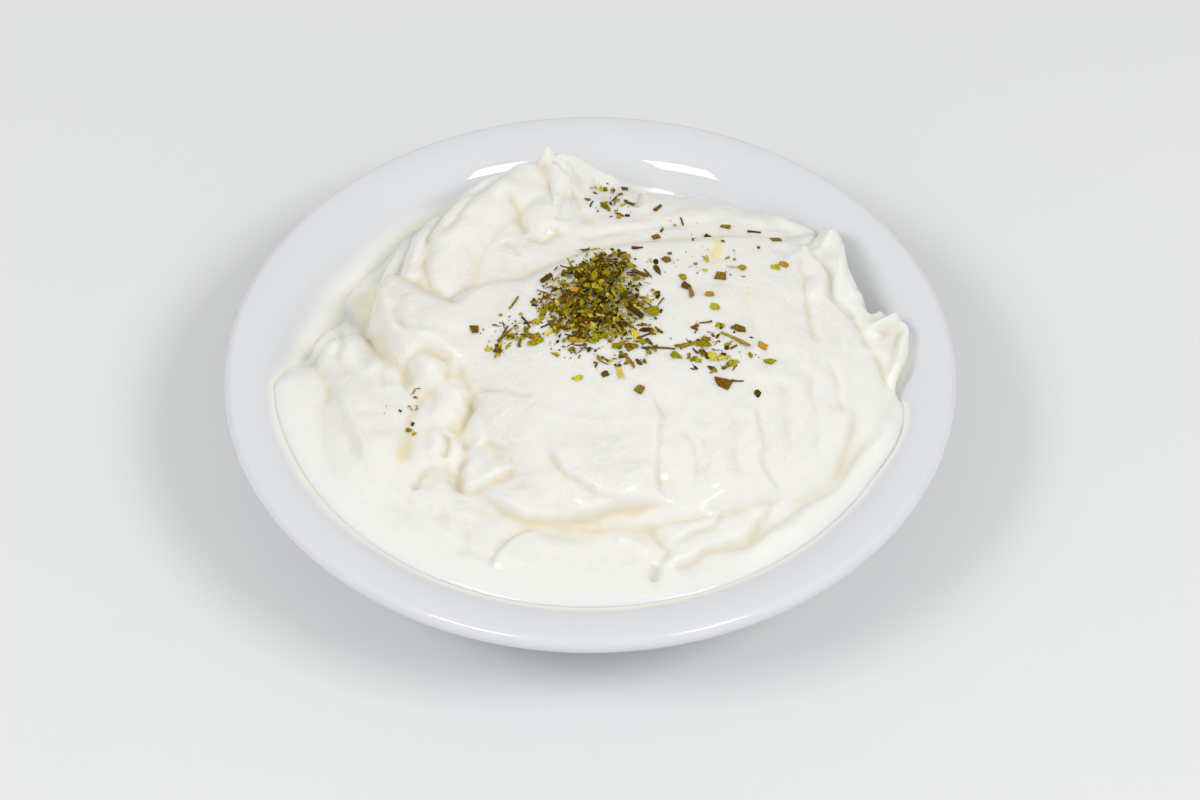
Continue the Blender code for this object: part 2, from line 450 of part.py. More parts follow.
def dish_section():
    """Half section of the dish: up the inner face, over the lip and down the outer face to the foot."""
    points = [(0, FLOOR_LEVEL)]
    for i in range(5):
        a = WALL_SLOPE * i / 4
        points.append((FLOOR_RADIUS + CORNER_ROUND * sin(a), FLOOR_LEVEL + CORNER_ROUND * (1 - cos(a))))
    for i in range(5):
        a = WALL_SLOPE * (1 - i / 4)
        points.append((CREST_RADIUS - SHOULDER_ROUND * sin(a), SHOULDER_Z + SHOULDER_ROUND * cos(a)))
    for i in range(7):
        a = pi / 2 - pi * i / 6
        points.append((RIM_RADIUS + LIP_ROUND * (cos(a) - 1), DISH_HEIGHT + LIP_ROUND * (sin(a) - 1)))
    outer_round = SHOULDER_ROUND - WALL_THICKNESS
    for i in range(1, 4):
        a = WALL_SLOPE * i / 3
        points.append((CREST_RADIUS - outer_round * sin(a), SHOULDER_Z + outer_round * cos(a)))
    wall_z = FOOT_TUCK + 1
    wall_r = points[-1][0] - (points[-1][1] - wall_z) / tan(WALL_SLOPE)
    points += [(wall_r, wall_z), (FOOT_OUTER + 1, FOOT_TUCK - 0.6), (FOOT_OUTER + 0.4, 0.4), (FOOT_OUTER, 0),
               (FOOT_INNER, 0), (FOOT_INNER - 0.5, 0.5), (FOOT_INNER - 0.9, RECESS_LEVEL), (0, RECESS_LEVEL)]
    return points


def material(name, colour, roughness):
    """A plain Principled surface."""
    result = bpy.data.materials.new(name)
    result.use_nodes = True
    shader = result.node_tree.nodes["Principled BSDF"]
    shader.inputs["Base Color"].default_value = (*colour, 1)
    shader.inputs["Roughness"].default_value = roughness
    shader.inputs["Metallic"].default_value = 0
    return result


def add_object(name, mesh, collection, surface=None):
    """An object in a collection, with its surface if it has one."""
    obj = bpy.data.objects.new(name, mesh)
    collection.objects.link(obj)
    if surface:
        mesh.materials.append(surface)
    return obj


def make_bowl(collection):
    """The dish: its half section turned about Z."""
    section = [(r * MM, 0, z * MM) for r, z in dish_section()]
    mesh = bpy.data.meshes.new("bowl")
    mesh.from_pydata(section, [(i, i + 1) for i in range(len(section) - 1)], [])
    bowl = add_object("bowl", mesh, collection, material("white glaze", (0.70, 0.72, 0.75), 0.1))
    turn = bowl.modifiers.new("turn", "SCREW")
    turn.axis = "Z"
    turn.angle = 2 * pi
    turn.steps = TURN_STEPS
    turn.render_steps = TURN_STEPS
    turn.use_merge_vertices = True
    turn.merge_threshold = 0.00001
    turn.use_smooth_shade = True
    return bowl


def make_yogurt_body(collection):
    """A sphere whose upper half takes the relief, and whose lower half lines the dish."""
    bm = bmesh.new()
    bmesh.ops.create_uvsphere(bm, u_segments=SPHERE_SECTORS, v_segments=SPHERE_RINGS, radius=1)
    unit = np.array([v.co for v in bm.verts])
    bearing = np.degrees(np.arctan2(unit[:, 1], unit[:, 0])) % 360
    share = np.arccos(np.clip(np.abs(unit[:, 2]), 0, 1)) / (pi / 2)
    edge = contact_radius(bearing)
    x = share * edge * np.cos(np.radians(bearing))
    y = share * edge * np.sin(np.radians(bearing))
    z = np.where(unit[:, 2] > -1e-4, yogurt_height(x, y), wall_height(share * edge) + GAP)
    for vertex, place in zip(bm.verts, np.column_stack([x, y, z]) * MM):
        vertex.co = place
    mesh = bpy.data.meshes.new("yogurt")
    bm.to_mesh(mesh)
    bm.free()
    yogurt = add_object("yogurt", mesh, collection, material("yogurt", (0.86, 0.84, 0.77), 0.4))
    thin = yogurt.modifiers.new("fewer faces", "DECIMATE")
    thin.ratio = KEPT_SHARE
    thin.use_collapse_triangulate = True
    return yogurt


def apply_modifiers(obj):
    """Replace an object's mesh by its evaluated mesh."""
    evaluated = obj.evaluated_get(bpy.context.evaluated_depsgraph_get())
    mesh = bpy.data.meshes.new_from_object(evaluated)
    mesh.name = obj.name
    old = obj.data
    obj.modifiers.clear()
    obj.data = mesh
    bpy.data.meshes.remove(old)


def plan_to_surface(px, py):
    """The point on the yogurt that the eye sees at a place of the plan, and the normal there."""
    eye = np.array(EYE)
    aim = np.array([px, py, DISH_HEIGHT]) - eye
    reach = np.linspace(*SIGHT_SHARES, SIGHT_STEPS)
    ray = eye + reach[:, None] * aim
    above = ray[:, 2] - yogurt_height(ray[:, 0].copy(), ray[:, 1].copy())
    x, y = ray[np.argmax(above < 0), :2]
    e = SLOPE_STEP
    z = yogurt_height(np.array([x, x + e, x - e, x, x]), np.array([y, y, y, y + e, y - e]))
    return Vector((x, y, z[0])), Vector(((z[2] - z[1]) / (2 * e), (z[4] - z[3]) / (2 * e), 1)).normalized()


def herb_places(rng):
    """Plan places of the herb crumbs, no two closer than the spacing."""
    places = []
    for count, (cx, cy), (sx, sy), turn in HERB_CLUSTERS:
        c, s = cos(radians(turn)), sin(radians(turn))
        left, tries = count, 0
        while left and tries < TRIES_EACH * count:
            tries += 1
            u = max(-CLUSTER_EDGE, min(CLUSTER_EDGE, rng.gauss(0, 1))) * sx
            v = max(-CLUSTER_EDGE, min(CLUSTER_EDGE, rng.gauss(0, 1))) * sy
            place = (cx + u * c - v * s, cy + u * s + v * c)
            if all(abs(complex(*place) - complex(*other)) > CRUMB_SPACING for other in places):
                places.append(place)
                left -= 1
    return places


def make_crumb(rng, name, place, collection):
    """One dried crumb: a low prism, sunk a little into the yogurt."""
    spot, normal = plan_to_surface(*place)
    length = rng.uniform(*CRUMB_LENGTH)
    bm = bmesh.new()
    sides = rng.choice(CRUMB_SIDES)
    bmesh.ops.create_cone(bm, cap_ends=True, segments=sides, radius1=0.5, radius2=CRUMB_TAPER / 2, depth=1)
    size = Matrix.Diagonal((length, rng.uniform(*CRUMB_WIDTH), CRUMB_THICKNESS, 1))
    spin = Matrix.Rotation(rng.uniform(0, 2 * pi), 4, "Z")
    tilt = Vector((0, 0, 1)).rotation_difference(normal).to_matrix().to_4x4()
    bm.transform(Matrix.Scale(MM, 4) @ Matrix.Translation(spot) @ tilt @ spin @ size)
    mesh = bpy.data.meshes.new(name)
    bm.to_mesh(mesh)
    bm.free()
    return add_object(name, mesh, collection)


def keep_largest_shell(mesh):
    """Drop sealed hollows and loose scraps that the union may leave."""
    bm = bmesh.new()
    bm.from_mesh(mesh)
    waiting = set(bm.verts)
    shells = []
    while waiting:
        shell = {waiting.pop()}
        front = list(shell)
        while front:
            for edge in front.pop().link_edges:
                for vertex in edge.verts:
                    if vertex in waiting:
                        waiting.remove(vertex)
                        shell.add(vertex)
                        front.append(vertex)
        shells.append(shell)
    largest = max(shells, key=len)
    bmesh.ops.delete(bm, geom=[v for shell in shells if shell is not largest for v in shell], context="VERTS")
    bmesh.ops.triangulate(bm, faces=bm.faces)
    bm.to_mesh(mesh)
    bm.free()


def fuse_herbs(yogurt, cutters):
    """Join the herb crumbs to the yogurt in one union, then remove them."""
    rng = random.Random(SEED)
    for index, place in enumerate(herb_places(rng)):
        crumb = make_crumb(rng, f"crumb_{index:03d}", place, cutters)
        crumb.hide_render = True
        crumb.display_type = "WIRE"
    join = yogurt.modifiers.new("herbs", "BOOLEAN")
    join.operation = "UNION"
    join.operand_type = "COLLECTION"
    join.collection = cutters
    join.solver = "MANIFOLD"
    apply_modifiers(yogurt)
    for crumb in list(cutters.objects):
        bpy.data.objects.remove(crumb)
    keep_largest_shell(yogurt.data)


def main():
    for obj in list(bpy.data.objects):
        bpy.data.objects.remove(obj)
    parts = bpy.data.collections.new("garlic_yogurt_bowl")
    cutters = bpy.data.collections.new("cutters")
    bpy.context.scene.collection.children.link(parts)
    bpy.context.scene.collection.children.link(cutters)
    make_bowl(parts)
    yogurt = make_yogurt_body(parts)
    apply_modifiers(yogurt)
    fuse_herbs(yogurt, cutters)
    yogurt.data.shade_smooth()
    yogurt.data.set_sharp_from_angle(angle=radians(40))


main()
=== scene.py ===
"""Looks of a small round dish of thick garlic yogurt with dried herbs.

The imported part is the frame; fine meshes stand for its two solids, and the herbs get their own colours.
"""

import random
from math import cos, hypot, pi, radians, sin, sqrt, tan

import bpy
import numpy as np
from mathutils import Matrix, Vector


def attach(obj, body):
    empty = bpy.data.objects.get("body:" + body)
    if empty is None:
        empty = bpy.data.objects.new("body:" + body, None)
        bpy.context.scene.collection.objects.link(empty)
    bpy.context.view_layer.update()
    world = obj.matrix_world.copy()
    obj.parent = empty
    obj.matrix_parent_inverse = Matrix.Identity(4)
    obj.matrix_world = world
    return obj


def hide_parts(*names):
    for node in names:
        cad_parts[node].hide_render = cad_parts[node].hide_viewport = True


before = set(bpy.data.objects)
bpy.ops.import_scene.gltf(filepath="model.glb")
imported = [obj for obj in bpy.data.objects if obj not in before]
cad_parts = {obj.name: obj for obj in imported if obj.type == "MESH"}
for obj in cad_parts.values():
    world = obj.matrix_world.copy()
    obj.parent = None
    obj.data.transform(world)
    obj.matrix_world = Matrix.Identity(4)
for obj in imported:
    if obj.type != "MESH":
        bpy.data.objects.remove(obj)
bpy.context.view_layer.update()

# ---------------------------------------------------------------- dish section
# Lengths in this script are millimetres; MM turns them into the scene's metres.
MM = 0.001
RIM_RADIUS = 75.0
DISH_HEIGHT = 26.0
LIP_ROUND = 1.9
CREST_RADIUS = 72.0
SHOULDER_ROUND = 13.4
WALL_THICKNESS = 3.8
WALL_SLOPE = radians(45)
FLOOR_LEVEL = 7.4
CORNER_ROUND = 14.0
GAP = 0.3

SHOULDER_Z = DISH_HEIGHT - SHOULDER_ROUND
WALL_TOP_R = CREST_RADIUS - SHOULDER_ROUND * sin(WALL_SLOPE)
WALL_TOP_Z = SHOULDER_Z + SHOULDER_ROUND * cos(WALL_SLOPE)
WALL_FOOT_Z = FLOOR_LEVEL + CORNER_ROUND * (1 - cos(WALL_SLOPE))
WALL_FOOT_R = WALL_TOP_R - (WALL_TOP_Z - WALL_FOOT_Z) / tan(WALL_SLOPE)
FLOOR_RADIUS = WALL_FOOT_R - CORNER_ROUND * sin(WALL_SLOPE)


def wall_height(radius):
    """Height of the dish's inner face at each radius."""
    shoulder = SHOULDER_Z + np.sqrt(np.maximum(SHOULDER_ROUND**2 - (CREST_RADIUS - radius)**2, 0))
    slope = WALL_TOP_Z - (WALL_TOP_R - radius) * tan(WALL_SLOPE)
    corner = FLOOR_LEVEL + CORNER_ROUND - np.sqrt(np.maximum(CORNER_ROUND**2 - (radius - FLOOR_RADIUS)**2, 0))
    low = np.where(radius < FLOOR_RADIUS, FLOOR_LEVEL, corner)
    return np.where(radius >= WALL_TOP_R, shoulder, np.where(radius >= WALL_FOOT_R, slope, low))


# ---------------------------------------------------------------- yogurt: large forms
# Where the yogurt meets the dish: (bearing in degrees from +X, radius).
CONTACT = [(0, 65.5), (4, 66), (7, 65.6), (9, 63.8), (11.5, 59.3), (14, 57.7), (18.5, 57.7), (23.5, 58.5),
           (28, 60.8), (32, 62.9), (36, 62.6), (42.5, 60.7), (48.5, 59.1), (55.5, 58.1), (70, 58.2),
           (82, 58.9), (95, 60.5), (110, 61.2), (120, 59.8), (132, 59.2), (140.5, 57.8), (149.5, 58),
           (155.5, 57.8), (159.5, 56.5), (164.5, 57.9), (170.5, 59), (177.5, 60.4), (182, 63.2),
           (187, 65.2), (205, 64.9), (225, 64.9), (245, 65), (270, 65), (300, 64.7), (329.5, 64.6),
           (340, 65.6), (346, 65.5), (349.5, 64.6), (351.5, 62.7), (355, 63.5)]
EDGE_ROUND = 0.4
POOL_RISE = 0.10
POOL_RISE_AHEAD = 0.04
POOL_SPAN = 60
# How widely the valleys between two forms are rounded, and how steeply a form ends past its foot.
BROAD_BLEND = 3
CLOSE_BLEND = 2
TIGHT_BLEND = 1.2
RIDGE_ROUND = 1.2
FALL_PAST_FOOT = 5
FALL_PAST_ROLL = 8
FAR_BELOW = -50.0
PATH_REACH = 70
END_SHARE = 0.2
# How far from its line a mark still counts, in multiples of its width.
ROLL_REACH, RIDGE_REACH, BACK_REACH, HOLLOW_REACH = 1.6, 3.2, 2.5, 3
# How sharply creases and the dips under folds turn down, and how full a lump is.
CREASE_POWER = LUMP_POWER = 1.5
# How far past its ends a crease fades out, in multiples of its width.
CREASE_END = 1.5

# Spines of ridges and rolls: points (x, y, z) along the top.
HILL = [(13, 44.5, 26.0), (9.4, 47, 26.9), (5.2, 49, 29.9), (2, 50, 31.6), (-0.6, 50.5, 33.3),
        (-3.4, 51, 34.5), (-6.2, 51, 35.2), (-9.5, 51, 34.3), (-12.5, 50.3, 32.1), (-16.4, 49.5, 32.1),
        (-20.3, 48, 32.2), (-23, 46, 32.5), (-25, 44, 32.2), (-26.5, 42, 31.6), (-28, 38, 30.8),
        (-29, 32, 29)]
HILL_SLOPES = (0.30, 1.9)
PEAK = (-9.2, 50.8, 37.6)
PEAK_SLOPE = 2.4
PEAK_ROUND = 0.5
ROLLS = {  # spine, radius, roundness
    "shelf behind the hill": ([(-16, 55, 21.5), (-22, 50, 22.5), (-29, 42.5, 24), (-35, 36.5, 25.6),
        (-39.5, 29.5, 25.4), (-42, 23, 24)], 3.6, 1.0),
    "wedge": ([(-28, 43, 26.4), (-32, 38.5, 27.8), (-35.5, 32, 29), (-37, 26, 29.2),
        (-37.5, 21, 28.8)], 2.8, 1.0),
    "tongue": ([(-13, 47, 33.4), (-18.5, 42.5, 34.2), (-24, 36, 34), (-28.5, 28, 32.2),
        (-30.5, 18, 30)], 7.0, 0.7),
    "low lobe": ([(4, 43.5, 24.9), (12, 44.5, 25.0), (19, 46, 26.2), (25, 44.8, 25.9), (29, 42, 24.9),
        (33, 39.6, 24.5), (38, 39.4, 26.2), (43, 37.4, 26.1), (48, 34.5, 26)], 6.0, 1.0),
}
# Rounded heaps: centre x, y; reach left, right, front, back; foot and top level; fullness, and to the right.
MOUND = (4, 5, 31, 60, 53, 45, 25.5, 38.4, 0.5, 0.8)
SHOULDER = (22, 8, 40, 39, 40, 42, 25.0, 37.2, 0.5, 0.62)
PLATE = (-16, 6, 31, 20, 24, 34, 25.0, 34.6, 0.38, 0.38)
VALLEY = (2, 30, 36, 44, 30, 20.3, 24.0, 33.0, 0.6, 0.6)
LEFT_MASS = (-40, -16, 13.5, 16, 24, 19, 24.0, 29.4, 0.7, 0.6)
LEFT_LUMP = (-50, 0, 6.5, 8, 9, 8, 22.5, 27.8, 0.7, 0.7)

# ---------------------------------------------------------------- yogurt: spoon marks
# These are laid out in the plan that an eye at EYE sees on the level of the rim, and lean back from there
# on to the large forms.
EYE = (2.0, -387.3, 428.7)
FAR_EDGE = [(-36, -9), (-39, 0), (-42, 8), (-44, 15), (-44.8, 21), (-43.5, 24.5), (-38, 21), (-31, 16.5),
            (-28, 16), (-25.5, 19.5), (-20, 22), (-14, 22.5), (-8.5, 26), (-3, 29.5), (4, 32), (12, 34),
            (20, 35), (28, 36), (36, 35.5), (43, 35), (48, 37), (54, 40)]
FAR_EDGE_ROUND = 2.2
FAR_EDGE_FALL = 1.35
# Folds: path with the upper side on its left, height, width of the face, length of the back, undercut and
# width of the valley under it.
FOLDS = {
    "front lip": ([(-22.5, -34.5), (-20, -39), (-15.5, -42.6), (-9.5, -44.6), (-3, -44.2), (3, -42.4),
        (10, -41), (17, -40)], 1.5, 1.5, 8, 0.9, 4.5),
    "petal": ([(-23.5, -25), (-24.6, -29.5), (-25, -33.5), (-24.3, -35.8), (-21.5, -35.8), (-17.5, -33.5),
        (-14.5, -31)], 1.2, 1.5, 4.5, 0.6, 1.8),
    "above the petal": ([(-24, -25.2), (-21, -24), (-17.5, -25), (-14.5, -24),
        (-10, -24)], 0.4, 1.4, 4, 0.2, 1.2),
    "left plate": ([(-23.5, -9), (-23.6, -14), (-24.5, -18), (-26, -21.5)], 1.0, 2.0, 5, 0.5, 1.8),
    "inner lip": ([(-7.8, -23), (-6.6, -28), (-3.2, -34.5), (0.8, -38.8), (5, -40.4),
        (9.5, -43)], 0.9, 1.2, 7, 0.35, 1.8),
    "middle step": ([(15.5, -41), (13.6, -36), (13.2, -29.5), (13.8, -22), (14, -16),
        (11.5, -9.5)], 0.75, 1.3, 7, 0.25, 2.0),
    "upper right lip": ([(14.5, -51.8), (19.5, -48.6), (24, -46.5), (26.5, -43)], 0.8, 1.2, 5, 0.4, 1.8),
    "lower right lip": ([(14, -55.8), (18, -55), (24, -51.8), (30, -48.2), (34.5, -43.6),
        (37, -40)], 1.2, 1.5, 6, 0.9, 3.8),
    "outer lip": ([(36.5, -40.8), (42, -38), (46.5, -33.6), (49.5, -27.5), (52, -21),
        (53.5, -13)], 0.9, 1.8, 6, 0.6, 3.2),
    "right step": ([(37.5, -40.5), (35.8, -36), (34.4, -31), (33.8, -24),
        (33.3, -12)], 0.7, 1.5, 7, 0.3, 2.6),
    "front arc": ([(-9.5, -46.5), (-13, -48.2), (-16.5, -50.6), (-18.6, -54),
        (-19.2, -57.5)], 0.7, 1.3, 6, 0.4, 2.6),
    "inner back sheet": ([(50.5, 15), (50, 20.5), (49.5, 24.5), (48, 28), (46.5, 31.5),
        (44.5, 34)], 1.5, 1.6, 4, 0.4, 1.6),
    "left mass": ([(-52.5, -1), (-52.8, -8), (-51.2, -15), (-48.5, -20.5), (-46.6, -26),
        (-46.5, -32)], 1.0, 3.2, 6, 0.5, 3.4),
    "lobe": ([(-26, -29.5), (-29, -31), (-32.5, -31.6), (-34.2, -34), (-34.8, -38)], -0.9, 1.8, 4, -0.4, 1.3),
}
RIDGES = {  # path, height, half width
    "swell along the rim": ([(62, -16), (57, -25), (51.5, -33), (47, -39), (40.5, -46), (33, -51),
        (25, -56)], 1.7, 2.8),
    "plate edge": ([(-44.5, 22), (-43.6, 17), (-42.5, 12), (-41, 5)], 0.9, 1.5),
    "corner edge": ([(-38.5, 19), (-37.8, 13), (-36, 8)], 0.5, 1.6),
    "curl at the rim": ([(56.2, 5.2), (58, 7.2), (61, 8.4), (64.2, 9.0), (65.4, 6.0), (64.8, 2.5),
        (63.8, -2), (62.6, -6), (61.6, -10)], 3.0, 1.3),
    "outer back sheet": ([(56.2, 14.4), (56.1, 17), (55.2, 20.5), (53.8, 24), (53.4, 28), (52.8, 32.5),
        (51.4, 36)], 0.9, 1.3),
    "crest at the notch": ([(4, -49.5), (9.5, -51), (13, -53)], 0.8, 1.5),
    "lobe under the lip": ([(-12, -51.5), (-4, -51.5), (5, -49.2), (10, -48)], 0.7, 2.6),
    "over the ball": ([(-40, 9), (-36.5, 6.2), (-32.5, 5), (-29, 1.5), (-27, -4)], 0.9, 1.5),
    "sheet, upper edge": ([(44, 33.5), (48, 31), (51, 34), (53.5, 35)], 0.7, 1.3),
}
LUMPS = [  # x, y, half width, half length, turn in degrees, height
    (-33.2, -4.6, 4.6, 5.2, 0, 2.4), (-28.4, -14, 4.4, 7, 8, 1.5), (-31, -24.6, 2.6, 4.2, 0, 1.2),
    (-27, -25, 2.4, 4.6, 5, 1.3), (-30.5, -37, 6, 6.5, 0, 1.0), (-49, 1.5, 3.4, 7.5, 5, 1.3),
    (-55, 3.5, 3.6, 5, -20, 1.2), (-44, -2, 4, 6, 0, 0.5), (-40.5, -27, 5, 6.5, 20, 0.8),
    (60.2, 7.6, 3, 2.4, 0, -1.0), (59, 5.6, 1.3, 1.3, 0, 0.8), (51.4, 35, 3.3, 4.5, 10, 2.0),
    (59.2, 15.6, 2.2, 4, 0, -3.2), (-48, 13.5, 4, 6, 0, -1.7), (-9.5, 43.5, 7, 9, 8, 2.3),
    (-6.5, 54, 4, 7.5, 12, 1.3), (-1.5, 47, 4.5, 6, 0, 0.9), (-16, 29.5, 4.5, 4, 30, 0.8),
    (24, 42.5, 8, 3, 8, 0.9), (38, 40, 7, 2.6, -8, 0.9), (10, 38, 8, 2.4, 5, 0.7),
    (52.5, 28, 2.2, 9, 8, 1.1), (-13, -40.5, 8, 3.5, -8, 0.5), (2, -30, 9, 9, 0, 0.5),
    (24, -30, 8, 12, 10, 0.6), (44, -16, 5, 14, 4, 0.5), (-18, -17, 6, 6.5, 0, 0.7),
    (-30, 11, 7, 5, -25, 0.7), (-19, 51, 4, 5, 0, 0.8)]
CREASES = {  # path, depth, width
    "behind the mound": ([(-6, 36), (2, 35.5), (9, 37), (15, 38.5), (22, 39)], 0.7, 1.2),
    "blob, left": ([(-17, 50.5), (-16, 45), (-15.5, 40), (-13, 35.5)], 1.2, 1.6),
    "blob, foot": ([(-14, 35.4), (-10, 34.4), (-6.5, 37)], 1.0, 1.4),
    "blob, right": ([(-6.2, 51), (-5.8, 46), (-6.5, 38)], 0.8, 1.5),
    "hill, right": ([(-5.5, 50), (-3, 46), (-1, 42), (0.5, 38)], 0.8, 1.4),
    "hill, far right": ([(3, 48.5), (4, 44), (4, 40)], 0.5, 1.5),
    "behind the tongue": ([(-15.5, 57.5), (-20.5, 53.5), (-25.5, 49.5), (-29, 42.5), (-32.5, 34)], 1.2, 1.4),
    "beside the tongue": ([(-33.5, 37), (-34.8, 31), (-35.4, 26), (-34, 20.5), (-31, 16.5)], 1.0, 1.2),
    "beside the wedge": ([(-35, 40.5), (-37.8, 35.5), (-39.4, 30), (-39.2, 24)], 0.9, 1.2),
    "under the arch": ([(-19.5, 34.2), (-17.2, 31.6), (-15.5, 28)], 0.8, 1.1),
    "top of the plate": ([(-24, -8), (-20.5, -9.6), (-17.5, -9.4), (-15, -10.6), (-11, -10)], 0.45, 0.9),
    "round the ball": ([(-37.6, -11), (-38.2, -5), (-37.6, -0.5), (-34.4, 1.6), (-31, 0.6), (-28.9, -3),
        (-28.8, -8)], 1.1, 1.2),
    "left gap": ([(-28, 1.5), (-27, -3.5), (-25.2, -8), (-24.4, -13), (-25, -17.5), (-27, -20.6),
        (-30.5, -21.6)], 1.7, 1.8),
    "left gap, lower": ([(-25, -20.5), (-25.2, -26), (-26, -31.5), (-25.4, -38)], 1.3, 1.6),
    "herb groove": ([(-31.5, -9), (-34.4, -10.8), (-35.7, -14), (-36.2, -20), (-37, -25),
        (-37.2, -31)], 1.2, 1.6),
    "between the lumps": ([(-29, -21.5), (-28.7, -25), (-29, -29)], 1.0, 1.0),
    "under the lumps": ([(-26, -30), (-29.5, -30.6), (-32.6, -31.2), (-34.2, -34), (-34.6, -37.5)], 1.3, 1.1),
    "corner": ([(-41, 16), (-39.8, 11), (-37.8, 7), (-35.5, 4.6)], 0.6, 1.2),
    "hill foot": ([(10.6, 51), (10.2, 47.5), (9, 44)], 1.2, 0.8),
    "sheet crease": ([(49.5, 19.5), (52, 15), (55.5, 10)], 0.5, 0.7),
    "left of the mass": ([(-57.5, -2), (-58, 4), (-55.5, 9), (-51, 10)], 0.8, 1.8),
    "between left lumps": ([(-52, 8), (-51.8, 3), (-52.4, -2.5)], 0.6, 1.8),
    "left dent": ([(-44, 8), (-43.5, 2), (-42.5, -4), (-41.5, -9)], 0.9, 2.4),
    "front notch": ([(11.5, -44.5), (13.2, -49), (15, -52), (13.6, -55), (12.4, -58), (13.2, -62)], 0.8, 1.2),
    "notch pit": ([(13.4, -55), (12.2, -57), (12.6, -59)], 1.2, 1.0),
    "front nick": ([(3.5, -58), (6, -55.6), (9.5, -55)], 0.25, 0.9),
    "left of the inner sheet": ([(43.5, 32.5), (44.5, 27.5), (45, 22), (45.5, 16), (46, 8.5),
        (46.5, 3)], 0.8, 0.9),
    "between the sheets": ([(48.5, 29), (49.5, 23.5), (51, 19), (53, 16), (55, 11.5), (55.5, 7), (57, 3),
        (59, -0.5)], 0.9, 1.1),
    "notch in the sheets": ([(49.5, 38.5), (47.5, 35.4), (45.8, 33.4), (46.2, 31)], 1.3, 0.8),
    "inside the curl": ([(58, 1), (59.8, -2.6), (60.8, -6.5), (61.2, -10)], 1.2, 0.9),
    "under the peak": ([(-8.6, 60), (-7, 58), (-5.6, 55.5), (-4.6, 53)], 0.7, 0.8),
    "streak 1": ([(22, -20), (22.6, -28), (22.6, -36)], 0.6, 1.5),
    "streak 2": ([(17.5, -19), (20, -24), (21, -30), (20.5, -37)], 0.55, 1.0),
    "streak 3": ([(43.4, -2), (45, -10), (45.6, -19), (44.4, -28)], 0.8, 1.8),
    "streak 4": ([(28, -14), (28.8, -24), (29.8, -34)], 0.55, 1.6),
    "streak 5": ([(38.5, -6), (39.6, -15), (39.4, -25)], 0.5, 1.6),
    "streak 6": ([(33, 12), (35, 3), (36, -6)], 0.4, 1.4),
    "streak 7": ([(48.5, -1), (50.5, -9), (50.8, -17)], 0.6, 1.3),
    "under the right lips": ([(22, -53), (26, -51), (33, -47.6), (40, -42.6), (47, -36), (53, -27.5),
        (57.5, -19)], 1.35, 2.6),
    "left pool": ([(-44, -36), (-38, -41), (-31, -43), (-25, -45)], 0.6, 3.2),
    "front pool": ([(-23.5, -42), (-24, -48), (-22.5, -55)], 0.6, 2.6),
}

# Unevenness: (size, height) of smooth random bumps, and how far the spoon marks wander.
BUMPS = [(11, 0.34), (5, 0.28), (2.4, 0.13), (1.3, 0.045)]
WANDER = [(6, 0.7), (2.5, 0.22)]
WANDER_LAYERS = 20
# Fine strokes round a centre, clear of what is near it, and how the unevenness calms at the yogurt's edge.
STROKE_CENTRE = (4, -2)
STROKE_SIZE = (1.5, 24)
STROKE_HEIGHT = 0.13
STROKE_CLEAR = 12
CALM_SHARE = 0.35
CALM_WIDTH = 3
ROUGH_WIDTH = 10
EDGE_FADE = 2
NOISE_CELLS = 64
RELIEF_SEED = 5


def smooth_noise(x, y, size, layer):
    """A smooth random field between -1 and 1, with features about a size apart."""
    cells = np.random.default_rng(RELIEF_SEED + layer).uniform(-1, 1, (NOISE_CELLS, NOISE_CELLS))
    u, v = x / size, y / size
    i, j = np.floor(u).astype(int), np.floor(v).astype(int)
    s, t = (w * w * w * (w * (6 * w - 15) + 10) for w in (u - i, v - j))
    i0, i1 = i % NOISE_CELLS, (i + 1) % NOISE_CELLS
    j0, j1 = j % NOISE_CELLS, (j + 1) % NOISE_CELLS
    near = cells[i0, j0] * (1 - s) + cells[i1, j0] * s
    far = cells[i0, j1] * (1 - s) + cells[i1, j1] * s
    return near * (1 - t) + far * t


def curve(points):
    """Smooth curve through a few points, about a millimetre between samples."""
    knots = np.array(points, float)
    guard = np.vstack([2 * knots[0] - knots[1], knots, 2 * knots[-1] - knots[-2]])
    pieces = []
    for a, b, c, d in zip(guard, guard[1:], guard[2:], guard[3:]):
        count = int(np.linalg.norm((c - b)[:2])) + 2
        t = np.linspace(0, 1, count, endpoint=False)[:, None]
        pieces.append(0.5 * (2 * b + (c - a) * t + (2 * a - 5 * b + 4 * c - d) * t**2
                             + (3 * b - 3 * c + d - a) * t**3))
    return np.vstack(pieces + [knots[-1:]])


def along(x, y, path, reach):
    """Points within reach of a path: index, signed distance (left is +), share of the way and overrun."""
    low = path[:, :2].min(0) - reach
    high = path[:, :2].max(0) + reach
    near = np.nonzero((x > low[0]) & (x < high[0]) & (y > low[1]) & (y < high[1]))[0]
    px, py = x[near], y[near]
    step = np.diff(path[:, :2], axis=0)
    length = np.hypot(step[:, 0], step[:, 1])
    start = np.concatenate([[0], np.cumsum(length)])
    best = np.full(len(near), 1e9)
    side = np.ones(len(near))
    share = np.zeros(len(near))
    over = np.zeros(len(near))
    for i, (ux, uy) in enumerate(step / length[:, None]):
        rx, ry = px - path[i, 0], py - path[i, 1]
        run = rx * ux + ry * uy
        held = np.clip(run, 0, length[i])
        distance = np.hypot(rx - held * ux, ry - held * uy)
        closer = distance < best
        best[closer] = distance[closer]
        side[closer] = np.where(ux * ry - uy * rx < 0, -1, 1)[closer]
        share[closer] = ((start[i] + held) / start[-1])[closer]
        over[closer] = np.abs(run - held)[closer]
    return near, best * side, share, over


def fade(share, over, width):
    """1 along a path, easing to 0 at and past its ends."""
    end = np.clip(np.minimum(share, 1 - share) / END_SHARE, 0, 1)
    return end * end * (3 - 2 * end) * np.exp(-(over / width)**2)


